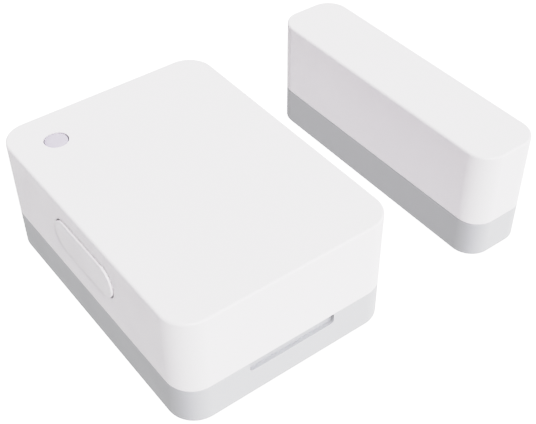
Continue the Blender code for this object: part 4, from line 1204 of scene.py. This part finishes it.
def reed_switch():
    (x, y, z), (across, length, _) = extent("reed_glass")
    radius, shoulder = across / 2, length / 2 - 0.8
    turns = (0.36, 0.6, 0.85, 1.1, 1.35, 1.57)
    outer = [(radius * math.sin(turn), shoulder + 0.8 * math.cos(turn)) for turn in turns]
    bore = [(0.83, shoulder - 0.5), (0.76, shoulder - 0.15), (0.6, shoulder + 0.02), (0.36, shoulder + 0.1)]
    profile = outer + [(r, -h) for r, h in reversed(outer)] + [(r, -h) for r, h in reversed(bore)] + bore
    lie = facing("up", (x, y, z)) @ Matrix.Rotation(-math.pi / 2, 4, "X")
    bm = shape(add_turned, profile, lie, 48, loop=True)
    make_piece("reed_tube", bm, "glass", "cover", "reed_glass", "reed_glass")

    board = level("main_board")[1] + SOLDER_LIFT
    leg = [(8.6, z), (9.1, z - 0.1), (9.5, z - 0.45), (9.9, board + 0.6), (10.3, board + 0.3)]
    leg += [(10.8, board + 0.24), (11.7, board + 0.24)]
    fixed = shape(add_wire, [(x, -reach, height) for reach, height in [(BLADE_START, z), *leg]], WIRE_RADIUS)
    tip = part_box("reed_fixed_blade")[1].y / MM
    low, high = z - 0.26, z - 0.06
    add_block(fixed, (1.0, tip + 5.9, high - low), (x, (tip - 5.9) / 2, (low + high) / 2), 0.3, 0.04)
    make_piece("reed_fixed_pole", fixed, "blade", "cover", "contact_metal", "reed_fixed_blade")
    lead = shape(add_wire, [(x, reach, height) for reach, height in [(LEAD_START, z), *leg]], WIRE_RADIUS)
    make_piece("reed_lead_wire", lead, "blade", "cover", "contact_metal", "reed_lead")
    block_piece("reed_swing_blade", "reed_moving_blade", (0.3, 0.04), "blade", "reed_blade", "contact_metal")
    bm = bmesh.new()
    mound = [(0.95, board - SOLDER_LIFT), (0.85, board + 0.1), (0.5, board + 0.36), (0.14, board + 0.46)]
    for end in SIDES:
        add_turned(bm, mound, upright(x, end * 10.95), 32)
    make_piece("reed_solder", bm, "solder", "cover", "steel")


# Magnet


def magnet_inside():
    block_piece("magnet_block", "magnet_bar", (0.35, 0.3), "magnet", "magnet_unit", "magnet_metal")
    strip = block_piece("magnet_foam_strip", "magnet_foam", (0.3, 0.1), "foam", "magnet_unit", "pad_foam")


# Stage, lights and camera


def make_floor():
    nodes = Nodes("studio_floor")
    slow = nodes.noise(60.0, 2.0)
    nodes.set(Base_Color=nodes.mix(slow, (0.90, 0.90, 0.90, 1), (0.92, 0.92, 0.92, 1)), Roughness=0.9)
    nodes.set(Specular_IOR_Level=0.0, Emission_Color=(1, 1, 1, 1), Emission_Strength=FLOOR_GLOW)
    bm = bmesh.new()
    bmesh.ops.create_grid(bm, x_segments=1, y_segments=1, size=FLOOR_HALF)
    floor = new_object("studio_floor", bm)
    floor.data.materials.append(nodes.material)
    floor.visible_diffuse = False
    floor.visible_glossy = False


def make_lights():
    """A bright room that lights the units from all round, and a soft key light from in front and above."""
    world = bpy.data.worlds.new("studio")
    bpy.context.scene.world = world
    world.use_nodes = True
    tree = world.node_tree
    room = tree.nodes["Background"]
    room.inputs["Color"].default_value = (1.0, 1.0, 1.0, 1.0)
    source = tree.nodes.new("ShaderNodeTexCoord").outputs["Generated"]
    for kind, operation, value in (("VectorMath", "DOT_PRODUCT", ROOM_TILT), ("Math", "ADD", ROOM)):
        node = tree.nodes.new("ShaderNode" + kind)
        node.operation = operation
        node.inputs[1].default_value = value
        tree.links.new(source, node.inputs[0])
        source = node.outputs["Value"]
    tree.links.new(source, room.inputs["Strength"])

    light = bpy.data.lights.new("key_light", "SUN")
    light.energy = KEY_LIGHT
    light.angle = KEY_SOFTNESS
    key = link("key_light", light)
    key.rotation_euler = (math.pi / 2 - KEY_HEIGHT, 0.0, KEY_SIDE)


def make_camera():
    """The camera stands to the left of the front, well above the units."""
    level_part = math.cos(CAMERA_ELEVATION)
    across, along = math.sin(CAMERA_AZIMUTH) * level_part, -math.cos(CAMERA_AZIMUTH) * level_part
    back = Vector((across, along, math.sin(CAMERA_ELEVATION)))
    camera = bpy.data.cameras.new("camera")
    camera.lens = CAMERA_LENS
    camera.sensor_width = CAMERA_SENSOR
    camera.shift_x, camera.shift_y = CAMERA_SHIFT
    camera.clip_start, camera.clip_end = CAMERA_CLIP
    obj = link("camera", camera)
    obj.location = (Vector(CAMERA_TARGET) + back * CAMERA_DISTANCE) * MM
    level_view = (-back).to_track_quat("-Z", "Y").to_matrix()
    obj.rotation_euler = (level_view @ Matrix.Rotation(CAMERA_ROLL, 3, "Z")).to_euler()
    bpy.context.scene.camera = obj


def set_tone():
    """A print-like tone curve: straight in the mid tones, then a soft shoulder up to the whitest white."""
    view = bpy.context.scene.view_settings
    view.view_transform = "Standard"
    view.look = "None"
    view.use_curve_mapping = True
    mapping = view.curve_mapping
    mapping.white_level = (WHITEST, WHITEST, WHITEST)
    for light, shown in SHOULDER:
        mapping.curves[3].points.new(light / WHITEST, shown)
    mapping.update()


BUILDERS = (
    sensor_cover, sensor_tray, magnet_shells, adhesive_pads, light_window, side_key, board_piece,
    board_copper, board_legend, wireless_chip, crystal_can, antenna_block, supply_capacitor, small_chips,
    optical_chips, board_screws, tactile_switch, coin_cell, cell_holder, cell_contacts, reed_switch,
    magnet_inside, make_floor, make_lights, make_camera, set_tone,
)


def main():
    for build in BUILDERS:
        build()


main()
